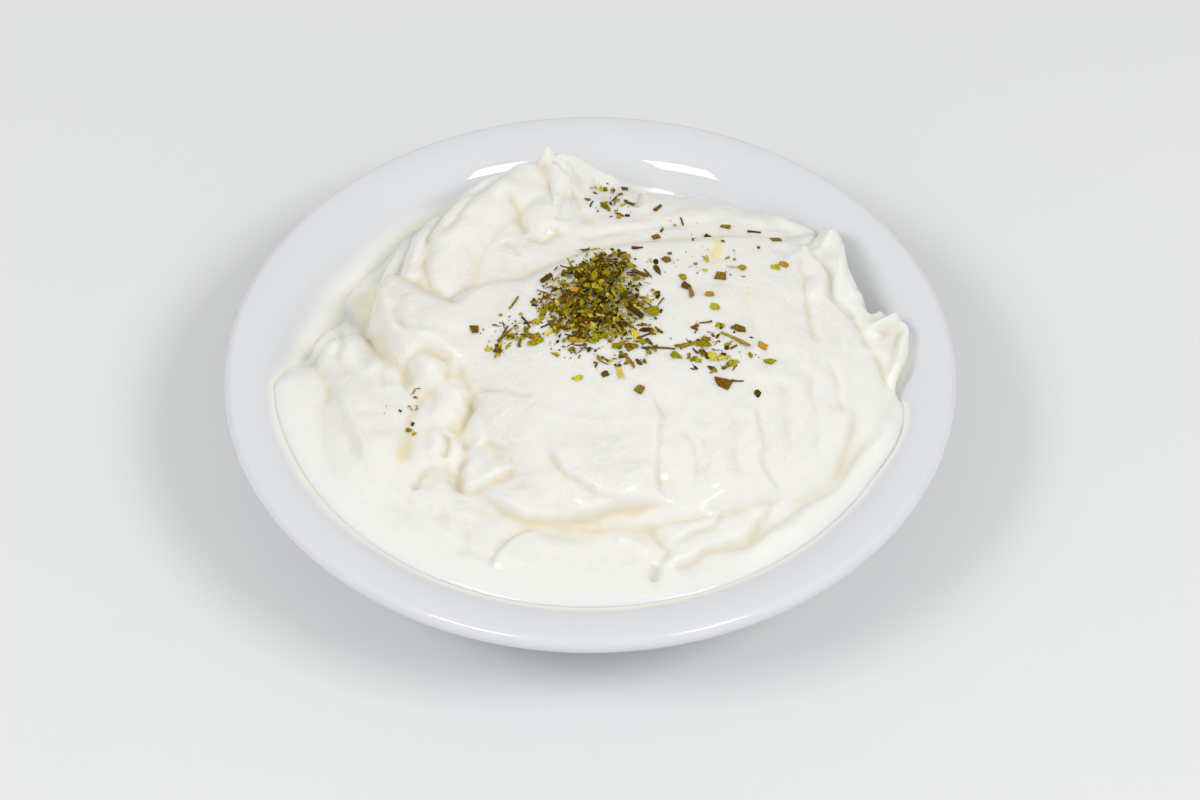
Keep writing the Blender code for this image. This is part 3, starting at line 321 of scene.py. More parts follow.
def spine_height(path, share):
    """Height of a 3-D path at a share of its way."""
    step = np.hypot(*np.diff(path[:, :2], axis=0).T)
    way = np.concatenate([[0], np.cumsum(step)])
    return np.interp(share, way / way[-1], path[:, 2])


def blend_max(a, b, width):
    """The higher of two surfaces, with the valley between them rounded over a width."""
    overlap = np.maximum(width - np.abs(a - b), 0) / width
    return np.maximum(a, b) + overlap**2 * width / 4


def heap(x, y, shape):
    """A rounded heap that reaches differently far on each side."""
    cx, cy, left, right, front, back, foot, top, full, full_right = shape
    u = (x - cx) / np.where(x < cx, left, right)
    v = (y - cy) / np.where(y < cy, front, back)
    q = np.hypot(u, v)
    fullness = full + (full_right - full) * np.clip(u / np.maximum(q, 1e-6), 0, 1)**2
    return foot + (top - foot) * (np.maximum(1 - q * q, 0)**fullness - FALL_PAST_FOOT * np.maximum(q - 1, 0))


def ridge_line(x, y, spine, slopes, rounding):
    """A ridge with its own slope on either side."""
    path = curve(spine)
    near, d, share, _ = along(x, y, path, PATH_REACH)
    z = np.full(len(x), FAR_BELOW)
    slope = np.where(d > 0, slopes[0], slopes[1])
    z[near] = spine_height(path, share) - slope * (np.sqrt(d * d + rounding**2) - rounding)
    return z


def roll(x, y, spine, radius, roundness):
    """A round roll along a spine."""
    path = curve(spine)
    near, d, share, _ = along(x, y, path, ROLL_REACH * radius)
    z = np.full(len(x), FAR_BELOW)
    section = roundness * radius * (1 - np.sqrt(np.maximum(1 - (d / radius)**2, 0)))
    z[near] = spine_height(path, share) - section - FALL_PAST_ROLL * np.maximum(np.abs(d) - radius, 0)
    return z


def seen_plan(x, y, z):
    """Where the eye point sees each point on the level of the rim."""
    k = (EYE[2] - DISH_HEIGHT) / (EYE[2] - z)
    return EYE[0] + (x - EYE[0]) * k, EYE[1] + (y - EYE[1]) * k


def cut_far_edge(z, px, py):
    """Let the front mass fall away behind its far edge, over a rounded shoulder."""
    near, d, _, _ = along(px, py, curve(FAR_EDGE), PATH_REACH)
    past = np.maximum(d + FAR_EDGE_ROUND, 0)
    flat = FAR_EDGE_ROUND * sqrt(3)
    z[near] -= FAR_EDGE_FALL * (np.sqrt(past**2 + flat**2) - flat)
    return z


def contact_radius(bearing):
    """Radius of the yogurt's edge at each bearing, in degrees: a smooth closed curve."""
    knots = np.array(CONTACT, float)
    ring = np.vstack([knots - [360, 0], knots, knots + [360, 0]])
    i = np.searchsorted(ring[:, 0], bearing, side="right") - 1
    (x0, y0), (x1, y1), (x2, y2), (x3, y3) = (ring[i + k].T for k in (-1, 0, 1, 2))
    t = (bearing - x1) / (x2 - x1)
    m1 = (y2 - y0) / (x2 - x0) * (x2 - x1)
    m2 = (y3 - y1) / (x3 - x1) * (x2 - x1)
    return ((2 * t**3 - 3 * t**2 + 1) * y1 + (t**3 - 2 * t**2 + t) * m1
            + (3 * t**2 - 2 * t**3) * y2 + (t**3 - t**2) * m2)


def large_forms(x, y, inside, edge):
    """The pool, the heap behind it and the big front mass, without spoon marks."""
    ahead = np.clip(0.5 - y / POOL_SPAN, 0, 1)
    z = wall_height(edge) + GAP + EDGE_ROUND * (1 - np.exp(-inside / EDGE_ROUND))
    z = z + inside * (POOL_RISE + POOL_RISE_AHEAD * ahead)
    z = blend_max(z, heap(x, y, VALLEY), BROAD_BLEND)
    z = blend_max(z, ridge_line(x, y, HILL, HILL_SLOPES, RIDGE_ROUND), BROAD_BLEND)
    from_peak = np.sqrt((x - PEAK[0])**2 + (y - PEAK[1])**2 + PEAK_ROUND**2) - PEAK_ROUND
    z = np.maximum(z, PEAK[2] - PEAK_SLOPE * from_peak)
    for spine, radius, roundness in ROLLS.values():
        z = blend_max(z, roll(x, y, spine, radius, roundness), TIGHT_BLEND)
    z = blend_max(z, heap(x, y, LEFT_MASS), BROAD_BLEND)
    z = blend_max(z, heap(x, y, LEFT_LUMP), CLOSE_BLEND)
    front = blend_max(heap(x, y, MOUND), heap(x, y, SHOULDER), BROAD_BLEND)
    front = blend_max(front, heap(x, y, PLATE), CLOSE_BLEND)
    front = cut_far_edge(front, *seen_plan(x, y, front))
    return blend_max(z, front, TIGHT_BLEND)


def spoon_marks(z, px, py):
    """Add folds, ridges, lumps and creases, laid out in the eye's plan."""
    for path, height, width in RIDGES.values():
        near, d, share, over = along(px, py, curve(path), RIDGE_REACH * width)
        z[near] += height * np.exp(-(d / width)**2) * fade(share, over, width)
    for path, height, lip, back, undercut, valley in FOLDS.values():
        reach = max(BACK_REACH * back, HOLLOW_REACH * valley)
        near, d, share, over = along(px, py, curve(path), reach)
        t = np.clip(0.5 + d / lip, 0, 1)
        rise = t * t * (3 - 2 * t) * np.exp(-(np.maximum(d - lip / 2, 0) / back)**2)
        dip = np.where(d < 0, np.exp(-(np.abs(d) / valley)**CREASE_POWER), np.exp(-(3 * d / lip)**2))
        z[near] += (height * rise - undercut * dip) * fade(share, over, np.where(d < 0, valley, 2 * lip))
    for cx, cy, half_width, half_length, turn, height in LUMPS:
        c, s = cos(radians(turn)), sin(radians(turn))
        u = ((px - cx) * c + (py - cy) * s) / half_width
        v = ((py - cy) * c - (px - cx) * s) / half_length
        z += height * np.maximum(1 - u * u - v * v, 0)**LUMP_POWER
    for path, depth, width in CREASES.values():
        near, d, share, over = along(px, py, curve(path), HOLLOW_REACH * width)
        z[near] -= depth * np.exp(-(np.abs(d) / width)**CREASE_POWER) * fade(share, over, CREASE_END * width)
    return z


def unevenness(x, y, inside):
    """Lumps and fine strokes that a spoon leaves in thick yogurt, calmer in the pool at the edge."""
    rough = CALM_SHARE + (1 - CALM_SHARE) * np.clip((inside - CALM_WIDTH) / ROUGH_WIDTH, 0, 1)
    z = sum(height * smooth_noise(x, y, size, layer) for layer, (size, height) in enumerate(BUMPS))
    radius = np.hypot(x - STROKE_CENTRE[0], y - STROKE_CENTRE[1])
    turn = np.arctan2(y - STROKE_CENTRE[1], x - STROKE_CENTRE[0])
    stroke = smooth_noise(radius * STROKE_SIZE[1] / STROKE_SIZE[0], turn * radius, STROKE_SIZE[1], len(BUMPS))
    clear = np.clip(radius / STROKE_CLEAR - 1, 0, 1) * np.clip((STROKE_CLEAR - y) / STROKE_SIZE[1], 0, 1)
    return rough * (z + STROKE_HEIGHT * stroke * clear)


def yogurt_height(x, y):
    """Height of the yogurt's top surface, spoon marks included."""
    edge = contact_radius(np.degrees(np.arctan2(y, x)) % 360)
    inside = np.maximum(edge - np.hypot(x, y), 0)
    z = large_forms(x, y, inside, edge)
    px, py = seen_plan(x, y, z)
    for layer, (size, reach) in enumerate(WANDER):
        sideways = reach * smooth_noise(px, py, size, WANDER_LAYERS + 2 * layer)
        onward = reach * smooth_noise(px, py, size, WANDER_LAYERS + 2 * layer + 1)
        px, py = px + sideways, py + onward
    z = spoon_marks(z, px, py) + unevenness(x, y, inside) * (1 - np.exp(-inside / EDGE_FADE))
    return np.maximum(z, wall_height(np.hypot(x, y)) + GAP)


# ---------------------------------------------------------------- small helpers
def link(obj):
    bpy.context.scene.collection.objects.link(obj)
    return obj


def mesh_piece(name, points, faces, materials):
    """A smooth-shaded mesh object from points in millimetres."""
    mesh = bpy.data.meshes.new(name)
    mesh.from_pydata((np.asarray(points) * MM).tolist(), [], faces)
    for surface in materials:
        mesh.materials.append(surface)
    mesh.shade_smooth()
    return link(bpy.data.objects.new(name, mesh))


def band(upper, lower):
    """Faces between two closed rings of points, each given by its indices."""
    n = len(upper)
    return [(upper[k], lower[k], lower[(k + 1) % n], upper[(k + 1) % n]) for k in range(n)]


def bands(first, count, rings):
    """Faces between rings of as many points each, one ring after the other from a first index."""
    rows = [range(first + i * count, first + (i + 1) * count) for i in range(rings)]
    return [face for upper, lower in zip(rows, rows[1:]) for face in band(upper, lower)]


def fan(ring, centre):
    """Faces from a closed ring to a point."""
    return [(ring[k], centre, ring[(k + 1) % len(ring)]) for k in range(len(ring))]


def point_attribute(obj, name, values):
    layer = obj.data.attributes.new(name, "FLOAT", "POINT")
    layer.data.foreach_set("value", np.asarray(values, np.float32))


def new_material(name):
    surface = bpy.data.materials.new(name)
    surface.use_nodes = True
    return surface


def set_shader(surface, **sockets):
    """Give the shader's sockets values or outputs; an underscore stands for a space in a socket's name."""
    shader = surface.node_tree.nodes["Principled BSDF"]
    for key, value in sockets.items():
        feed(surface, shader.inputs[key.replace("_", " ")], value)
    return surface


def node(surface, kind, inputs=(), **settings):
    """Add a node; inputs pairs a socket's name or number with a value or with another node's output."""
    made = surface.node_tree.nodes.new(kind)
    for key, value in settings.items():
        setattr(made, key, value)
    for key, value in inputs:
        feed(surface, made.inputs[key], value)
    return made


def feed(surface, socket, value):
    """Set a socket to a value, or link an output to it."""
    if isinstance(value, bpy.types.NodeSocket):
        surface.node_tree.links.new(value, socket)
    else:
        socket.default_value = value


def place(surface):
    return node(surface, "ShaderNodeTexCoord").outputs["Object"]


def noise(surface, size, detail=3.0, roughness=0.5):
    """Noise with features about a size, in millimetres."""
    return node(surface, "ShaderNodeTexNoise", [("Vector", place(surface)), ("Scale", 1 / (size * MM)),
                                                ("Detail", detail), ("Roughness", roughness)]).outputs["Fac"]


def scattered(surface, size, *inputs, **settings):
    """Distance to the nearest of points scattered about a size apart, in millimetres."""
    return node(surface, "ShaderNodeTexVoronoi", [("Vector", place(surface)), ("Scale", 1 / (size * MM)),
                                                  *inputs], **settings).outputs["Distance"]


def attribute(surface, name):
    return node(surface, "ShaderNodeAttribute", attribute_name=name).outputs["Fac"]


def calc(surface, operation, a, b, clamp=False):
    return node(surface, "ShaderNodeMath", [(0, a), (1, b)], operation=operation, use_clamp=clamp).outputs[0]


def remap(surface, value, low, high, to_low=0.0, to_high=1.0, shape="LINEAR"):
    """A value's range from low to high, moved to another range and held there."""
    return node(surface, "ShaderNodeMapRange", [("Value", value), ("From Min", low), ("From Max", high),
                                                ("To Min", to_low), ("To Max", to_high)],
                interpolation_type=shape).outputs[0]


def spread(surface, value, to_low, to_high):
    """The middle of a noise's range, spread between two values."""
    return remap(surface, value, *NOISE_SPAN, to_low, to_high)


def mix(surface, share, a, b):
    return node(surface, "ShaderNodeMix", [(0, share), (6, a), (7, b)], data_type="RGBA").outputs[2]


def ramp(surface, value, stops):
    """Colours along a value: stops are (position, colour)."""
    made = node(surface, "ShaderNodeValToRGB", [("Fac", value)])
    elements = made.color_ramp.elements
    while len(elements) < len(stops):
        elements.new(0.5)
    for element, (position, colour) in zip(elements, stops):
        element.position = position
        element.color = (*colour, 1)
    return made.outputs["Color"]


def bump(surface, height, distance, strength, normal=None):
    """A bump a distance deep, in millimetres, on top of another bump if one is given."""
    made = node(surface, "ShaderNodeBump", [("Height", height), ("Distance", distance * MM),
                                            ("Strength", strength)])
    if normal:
        feed(surface, made.inputs["Normal"], normal)
    return made.outputs[0]


# ---------------------------------------------------------------- materials
NOISE_SPAN = (0.3, 0.7)
# Colours; those in pairs are mixed by a slow noise.
GLAZE_TONES = ((0.70, 0.712, 0.738, 1), (0.728, 0.738, 0.758, 1))
PINHOLE_TONE = (0.45, 0.42, 0.38, 1)
CLAY_TONES = ((0.52, 0.46, 0.38, 1), (0.70, 0.65, 0.57, 1))
CROWN_TONES = ((0.802, 0.790, 0.738, 1), (0.830, 0.820, 0.775, 1))
POOL_TONE = (0.845, 0.85, 0.80, 1)
# Painted shade: creases are tinted towards this darker, yellower tone, as shade and warm bounced light fall
# there.
CREASE_SHADE_TONE = (0.79, 0.73, 0.56, 1)
# Yellow stain; under the herbs the same tone is painted warm shade between the bits.
STAIN_AND_SHADE_TONE = (0.84, 0.74, 0.43, 1)
SMEAR_TONE = (0.85, 0.86, 0.82, 1)
# Cream at the film's inner edge, with painted shade where the film meets the yogurt.
EDGE_CREAM_AND_SHADE_TONE = (0.84, 0.82, 0.72, 1)
TABLE_TONES = ((0.775, 0.785, 0.79, 1), (0.79, 0.795, 0.795, 1))
# Roughness from patch to patch; the film's is from bare to covered, and a herb's is added to its own.
GLAZE_GLOSS, FILM_GLOSS, YOGURT_GLOSS, HERB_GLOSS = (0.02, 0.045), (0.05, 0.24), (0.42, 0.58), 0.25
# Pinholes in the glaze: how far apart, their reach as a share of that, and their strength.
PINHOLE_SPACING, PINHOLE_REACH, PINHOLE_SHARE = 9, 0.022, 0.25
# How much a noise frays the film's edge, and how much film covers the glaze fully.
FILM_FRAY, FILM_FULL = 0.12, 0.85
# The wet coat: everywhere, more in the pool, more in patches, where a noise is between two limits.
COAT_ALL, COAT_POOL, COAT_PATCH, PATCH_LIMITS = 0.06, 0.45, 0.4, (0.42, 0.56)
POOL_SHINE = 0.16
# Curd grains in the patches: size, depth and strength.
CURD_SIZE, CURD_DEPTH, CURD_STRENGTH = 0.9, 0.24, 0.7
# How far a herb's mottling darkens and lightens its tone.
MOTTLE = (-0.34, 0.30)


def glaze_colour(surface):
    """White glaze: faint blue-grey clouding and a few pinholes."""
    colour = mix(surface, noise(surface, 14, 2), *GLAZE_TONES)
    pinhole = calc(surface, "LESS_THAN", scattered(surface, PINHOLE_SPACING), PINHOLE_REACH)
    return mix(surface, calc(surface, "MULTIPLY", pinhole, PINHOLE_SHARE), colour, PINHOLE_TONE)


def glaze_material():
    """Thick white glaze with slow waves under a hard gloss."""
    surface = new_material("white_glaze")
    waves = bump(surface, noise(surface, 11, 1), 0.03, 0.5)
    return set_shader(surface, IOR=1.52, Base_Color=glaze_colour(surface),
                      Roughness=spread(surface, noise(surface, 3), *GLAZE_GLOSS),
                      Normal=bump(surface, noise(surface, 1.3, 2), 0.003, 0.4, waves))


def smear_material():
    """The thin wet film at the yogurt's edge: creamy with painted shade beside the yogurt, feathering out to
    bare glaze.
    """
    surface = new_material("yogurt_smear")
    ragged = spread(surface, noise(surface, 7, 4, 0.55), -FILM_FRAY, FILM_FRAY)
    cover = calc(surface, "ADD", attribute(surface, "cover"), ragged)
    cover = remap(surface, cover, 0.0, FILM_FULL, shape="SMOOTHSTEP")
    # Cream of the film, with painted shade where it meets the yogurt, from the ring attribute.
    cream = mix(surface, attribute(surface, "ring"), SMEAR_TONE, EDGE_CREAM_AND_SHADE_TONE)
    return set_shader(surface, IOR=1.48, Base_Color=mix(surface, cover, glaze_colour(surface), cream),
                      Roughness=remap(surface, cover, 0, 1, *FILM_GLOSS),
                      Normal=bump(surface, noise(surface, 2.2, 3), 0.03, 0.5))


def clay_material():
    """The bare clay of the foot ring."""
    surface = new_material("bare_clay")
    grain = noise(surface, 0.4, 4, 0.7)
    return set_shader(surface, Base_Color=mix(surface, grain, *CLAY_TONES), Roughness=0.85,
                      Normal=bump(surface, grain, 0.08, 0.8))


def yogurt_material():
    """Moist strained yogurt: light scatters under the skin, creases get painted shade, the pool is wetter."""
    surface = new_material("yogurt")
    pool = attribute(surface, "pool")
    colour = mix(surface, noise(surface, 9, 3), *CROWN_TONES)
    colour = mix(surface, pool, colour, POOL_TONE)
    # Painted shade: creases darkened and yellowed.
    colour = mix(surface, attribute(surface, "crease_shade"), colour, CREASE_SHADE_TONE)
    # Stains, and painted warm shade under the herbs.
    colour = mix(surface, attribute(surface, "stain_and_shade"), colour, STAIN_AND_SHADE_TONE)
    calm = calc(surface, "SUBTRACT", 1.0, pool, clamp=True)
    patches = calc(surface, "MULTIPLY", remap(surface, noise(surface, 12, 2), *PATCH_LIMITS), calm)
    wet = calc(surface, "ADD", calc(surface, "MULTIPLY", pool, COAT_POOL),
               calc(surface, "MULTIPLY", patches, COAT_PATCH))
    dull = spread(surface, noise(surface, 2.2, 3), *YOGURT_GLOSS)
    curd = scattered(surface, CURD_SIZE, ("Smoothness", 0.5), feature="SMOOTH_F1")
    grains = bump(surface, calc(surface, "SUBTRACT", 1.0, curd), CURD_DEPTH,
                  calc(surface, "MULTIPLY", patches, CURD_STRENGTH))
    ripples = bump(surface, noise(surface, 0.9, 3, 0.6), 0.05, 0.5, grains)
    return set_shader(surface, Base_Color=colour, IOR=1.4, Specular_IOR_Level=0.38,
                      Subsurface_Weight=0.65, Subsurface_Radius=(1.0, 0.83, 0.5), Subsurface_Scale=0.0026,
                      Coat_Weight=calc(surface, "ADD", wet, COAT_ALL), Coat_Roughness=0.09,
                      Roughness=calc(surface, "SUBTRACT", dull, calc(surface, "MULTIPLY", pool, POOL_SHINE)),
                      Normal=bump(surface, noise(surface, 2.6, 4, 0.62), 0.22, 0.6, ripples))


def herb_material(name, stops, gloss):
    """Dried leaf or stem: own tone per bit (painted shade deep in the pile), mottled and finely wrinkled."""
    surface = new_material(name)
    speckle = noise(surface, 0.35, 4, 0.65)
    tone = calc(surface, "ADD", attribute(surface, "tone"), spread(surface, speckle, *MOTTLE), True)
    return set_shader(surface, Base_Color=ramp(surface, tone, stops), Specular_IOR_Level=0.04,
                      Roughness=spread(surface, speckle, gloss, gloss + HERB_GLOSS),
                      Normal=bump(surface, speckle, 0.06, 0.8))


def table_material():
    surface = new_material("pale_table")
    return set_shader(surface, Base_Color=mix(surface, noise(surface, 60, 2), *TABLE_TONES),
                      Roughness=0.55, Normal=bump(surface, noise(surface, 1.5, 3), 0.02, 0.3))


# ---------------------------------------------------------------- dish
DISH_SECTORS = 256
WALL_SAMPLES = 14
LIP_SAMPLES = 22
FOOT_OUTER = 42.0
FOOT_INNER = 39.0
RECESS_LEVEL = 2.5
WALL_END = 3.4
# The foot's section, outside and inside: how far from the edge of its flat face, and the level.
FOOT_OUTSIDE = [(1.8, 2.3), (0.9, 1.6), (0.55, 0.7), (0.3, 0.2), (0, 0)]
FOOT_INSIDE = [(0, 0), (0.4, 0.3), (0.8, 1.2), (1.2, RECESS_LEVEL)]
# Faces of the dish whose middle is below this level are bare clay.
CLAY_LEVEL = 0.15


def dish_section():
    """Half section of the dish: out over the floor, up the wall, over the lip and down to the foot."""
    points = [(0, FLOOR_LEVEL), (FLOOR_RADIUS / 2, FLOOR_LEVEL)]
    for a in np.linspace(0, WALL_SLOPE, WALL_SAMPLES):
        points.append((FLOOR_RADIUS + CORNER_ROUND * sin(a), FLOOR_LEVEL + CORNER_ROUND * (1 - cos(a))))
    for a in np.linspace(WALL_SLOPE, 0, WALL_SAMPLES):
        points.append((CREST_RADIUS - SHOULDER_ROUND * sin(a), SHOULDER_Z + SHOULDER_ROUND * cos(a)))
    for a in np.linspace(pi / 2, -pi / 2, LIP_SAMPLES):
        points.append((RIM_RADIUS + LIP_ROUND * (cos(a) - 1), DISH_HEIGHT + LIP_ROUND * (sin(a) - 1)))
    outer_round = SHOULDER_ROUND - WALL_THICKNESS
    for a in np.linspace(0, WALL_SLOPE, WALL_SAMPLES)[1:]:
        points.append((CREST_RADIUS - outer_round * sin(a), SHOULDER_Z + outer_round * cos(a)))
    points.append((points[-1][0] - (points[-1][1] - WALL_END) / tan(WALL_SLOPE), WALL_END))
    points += [(FOOT_OUTER + out, level) for out, level in FOOT_OUTSIDE]
    points += [(FOOT_INNER - out, level) for out, level in FOOT_INSIDE]
    return points + [(0, RECESS_LEVEL)]


def make_dish():
    """The dish, turned about Z, with its bare foot ring."""
    section = dish_section()
    bearing = np.linspace(0, 2 * pi, DISH_SECTORS, endpoint=False)
    rings = section[1:-1]
    points = [(0, 0, section[0][1]), (0, 0, section[-1][1])]
    points += [(r * cos(b), r * sin(b), z) for r, z in rings for b in bearing]
    first, last = range(2, 2 + DISH_SECTORS), range(len(points) - DISH_SECTORS, len(points))
    faces = bands(2, DISH_SECTORS, len(rings)) + fan(first[::-1], 0) + fan(last, 1)
    dish = mesh_piece("glazed_dish", points, faces, [glaze_material(), clay_material()])
    for face in dish.data.polygons:
        face.material_index = int(face.center.z < CLAY_LEVEL * MM)
    return dish


# ---------------------------------------------------------------- yogurt
GRID = 305
UNDER_RINGS = (0.97, 0.9, 0.75, 0.5, 0.25)
# The grid is drawn in by the relief smoothed this far, at this share of its height, so no face folds over.
DRAW_BLUR, DRAW_SHARE = 4, 0.5
# The yogurt's edge dips a little to meet the glaze.
EDGE_DIP = 0.05
# Painted shade in creases, from the relief against itself smoothed this far: its weight and the depth that
# counts fully.
CREASE_SHADE_LEVELS = [(3, 0.5, 0.30), (9, 0.6, 0.95)]
CREASE_SHADE_START = 0.12
# The painted shade fades out at the yogurt's edge, and is this much fainter in the pool.
CREASE_SHADE_EDGE, CREASE_SHADE_MARGIN, POOL_SHADE_FADE = 1.5, 0.3, 0.5
# The wet pool: full near the edge, and gone this far in.
POOL_FULL, POOL_WIDTH = 1.25, 11
# Garlicky yellow streaks, and painted warm shade under the herbs between the bits: place in the eye's plan,
# half width, half length and strength.
STAINS_AND_SHADE = [(26.3, 29.5, 1.2, 3.0, 1.0), (27.3, 33.0, 0.8, 3.4, 0.9), (32.8, 17.4, 0.7, 2.4, 0.6),
          (-37.5, -27.5, 0.9, 3.2, 0.8), (-47.0, 16.0, 3.5, 4.0, 0.35), (-36.2, -18, 0.8, 5, 0.35),
          (0.8, 16.5, 6.5, 8.5, 0.75)]


def disk_grid(count):
    """Bearing and share of the radius for a square grid drawn out into a disk."""
    line = np.linspace(-1, 1, count + 1)
    u, v = (part.ravel() for part in np.meshgrid(line, line, indexing="ij"))
    across = np.abs(u) >= np.abs(v)
    safe_u = np.where(across & (u != 0), u, 1)
    safe_v = np.where(~across, v, 1)
    bearing = np.where(across, pi / 4 * v / safe_u + np.where(u < 0, pi, 0),
                       pi / 2 - pi / 4 * u / safe_v + np.where(v < 0, pi, 0))
    return bearing % (2 * pi), np.maximum(np.abs(u), np.abs(v))


def drawn_in(points):
    """Slide a grid's points along its rows until they are even over the relief."""
    moved = points.copy()
    for row, old in zip(moved, points):
        way = np.concatenate([[0], np.cumsum(np.linalg.norm(np.diff(old, axis=0), axis=1))])
        even = np.linspace(0, way[-1], len(old))
        row[:, 0] = np.interp(even, way, old[:, 0])
        row[:, 1] = np.interp(even, way, old[:, 1])
    return moved


def blurred(field, reach):
    """A square field smoothed along both axes."""
    weights = np.exp(-np.linspace(-2, 2, 4 * reach + 1)**2)
    weights /= weights.sum()
    padded = np.pad(field, 2 * reach, mode="edge")
    rows = np.apply_along_axis(np.convolve, 0, padded, weights, "valid")
    return np.apply_along_axis(np.convolve, 1, rows, weights, "valid")


def grid_rim(index):
    """The indices round the edge of a square grid, counter-clockwise."""
    return np.concatenate([index[:-1, 0], index[-1, :-1], index[:0:-1, -1], index[0, :0:-1]]).tolist()


def even_grid(side):
    """A grid over the yogurt's plan, first evened along one way over the relief and then the other."""
    bearing, share = disk_grid(side - 1)
    radius = share * contact_radius(np.degrees(bearing))
    x, y = radius * np.cos(bearing), radius * np.sin(bearing)
    for order in ((1, 0, 2), (0, 1, 2)):
        relief = DRAW_SHARE * blurred(yogurt_height(x, y).reshape(side, side), DRAW_BLUR)
        grid = np.stack([x.reshape(side, side), y.reshape(side, side), relief], -1)
        grid = drawn_in(grid.transpose(order)).transpose(order)
        x, y = grid[..., 0].ravel(), grid[..., 1].ravel()
    return x, y


def top_shades(x, y, z, inside, side):
    """For each point of the top: painted shade in creases, stain and painted warm shade, and share of the
    pool.
    """
    field = z.reshape(side, side)
    # Painted shade: how far each point lies below the relief smoothed around it.
    crease_shade = sum(weight * (blurred(field, reach) - field) / depth for reach, weight, depth in CREASE_SHADE_LEVELS)
    pool = np.clip(POOL_FULL - inside / POOL_WIDTH, 0, 1)
    crease_shade = np.clip(crease_shade.ravel() - CREASE_SHADE_START, 0, 1) * (1 - POOL_SHADE_FADE * pool)
    crease_shade = crease_shade * np.clip(inside / CREASE_SHADE_EDGE - CREASE_SHADE_MARGIN, 0, 1)
    px, py = seen_plan(x, y, z)
    # Yellow stains, and in the last entry painted warm shade under the herbs.
    stain_and_shade = sum(strength * np.exp(-((px - cx) / half_width)**2 - ((py - cy) / half_length)**2)
                for cx, cy, half_width, half_length, strength in STAINS_AND_SHADE)
    return {"crease_shade": crease_shade, "stain_and_shade": np.clip(stain_and_shade, 0, 1), "pool": pool}


def make_yogurt():
    """The yogurt: a fine relief on top, closed below along the dish, meeting the wall at its edge."""
    side = GRID + 1
    x, y = even_grid(side)
    inside = np.maximum(contact_radius(np.degrees(np.arctan2(y, x)) % 360) - np.hypot(x, y), 0)
    z = yogurt_height(x, y) - (GAP + EDGE_DIP) * np.exp(-inside)
    index = np.arange(side * side).reshape(side, side)
    faces = np.stack([index[:-1, :-1], index[1:, :-1], index[1:, 1:], index[:-1, 1:]], -1)
    faces = faces.reshape(-1, 4).tolist()
    rim = grid_rim(index)
    below = []
    for share in UNDER_RINGS:
        radius = share * np.hypot(x[rim], y[rim])
        below.append(np.column_stack([share * x[rim], share * y[rim], wall_height(radius) + GAP]))
    below.append(np.array([[0, 0, FLOOR_LEVEL + GAP]]))
    points = np.vstack([np.column_stack([x, y, z]), *below])
    centre = len(points) - 1
    faces += band(rim, range(side * side, side * side + len(rim)))
    faces += bands(side * side, len(rim), len(UNDER_RINGS))
    faces += fan(range(centre - len(rim), centre), centre)
    yogurt = mesh_piece("garlic_yogurt", points, faces, [yogurt_material()])
    for name, values in top_shades(x, y, z, inside, side).items():
        spare = np.full(len(points) - len(values), float(name == "pool"))
        point_attribute(yogurt, name, np.concatenate([values, spare]))
    return yogurt


# Where the wet film on the wall beyond the yogurt ends: bearing and radius. Elsewhere it is a narrow ring.
SMEAR_REACH = [(114, 62.1), (123, 61.5), (130, 62.2), (135.5, 62.5), (143, 62.3), (149.5, 62.6),
               (155.5, 63.2), (163.5, 63.6), (170.5, 63.4), (177.5, 64.4), (183, 65.8), (188, 66.8),
               (193.5, 67), (212, 67.2), (228, 66.9)]
SMEAR_RING = 1.5
SMEAR_SECTORS = 360
SMEAR_STEPS = 12
SMEAR_DEPTH = 0.50
SMEAR_TUCK = 0.8
SMEAR_LIFT = 0.01
# How fast the film covers the glaze, and how near to the yogurt its cream and painted shade are strongest.
COVER_GAIN, RING_WIDTH = 1.2, 0.8


def make_smear():
    """The film of whey and cream that the yogurt left on the glaze beyond its edge."""
    bearing = np.linspace(0, 360, SMEAR_SECTORS, endpoint=False)
    inner = contact_radius(bearing) - SMEAR_TUCK
    reach = np.interp(bearing, *np.array(SMEAR_REACH).T, left=0, right=0)
    outer = np.maximum(reach, inner + SMEAR_TUCK + SMEAR_RING)
    a = np.radians(bearing)
    points, cover, ring = [], [], []
    for step in range(SMEAR_STEPS):
        share = step / (SMEAR_STEPS - 1)
        film = 1 - share
        radius = inner + (outer - inner) * share
        height = wall_height(radius) + SMEAR_LIFT + SMEAR_DEPTH * film**2
        points.append(np.column_stack([radius * np.cos(a), radius * np.sin(a), height]))
        cover.append(np.full(SMEAR_SECTORS, min(film * COVER_GAIN, 1)))
        # Cream with painted shade, strongest where the film meets the yogurt.
        ring.append(np.exp(-((radius - inner - SMEAR_TUCK) / RING_WIDTH)**2))
    faces = bands(0, SMEAR_SECTORS, SMEAR_STEPS)
    smear = mesh_piece("yogurt_smear", np.vstack(points), faces, [smear_material()])
    point_attribute(smear, "cover", np.concatenate(cover))
    point_attribute(smear, "ring", np.concatenate(ring))
    return smear


# ---------------------------------------------------------------- herbs
HERB_SEED = 23
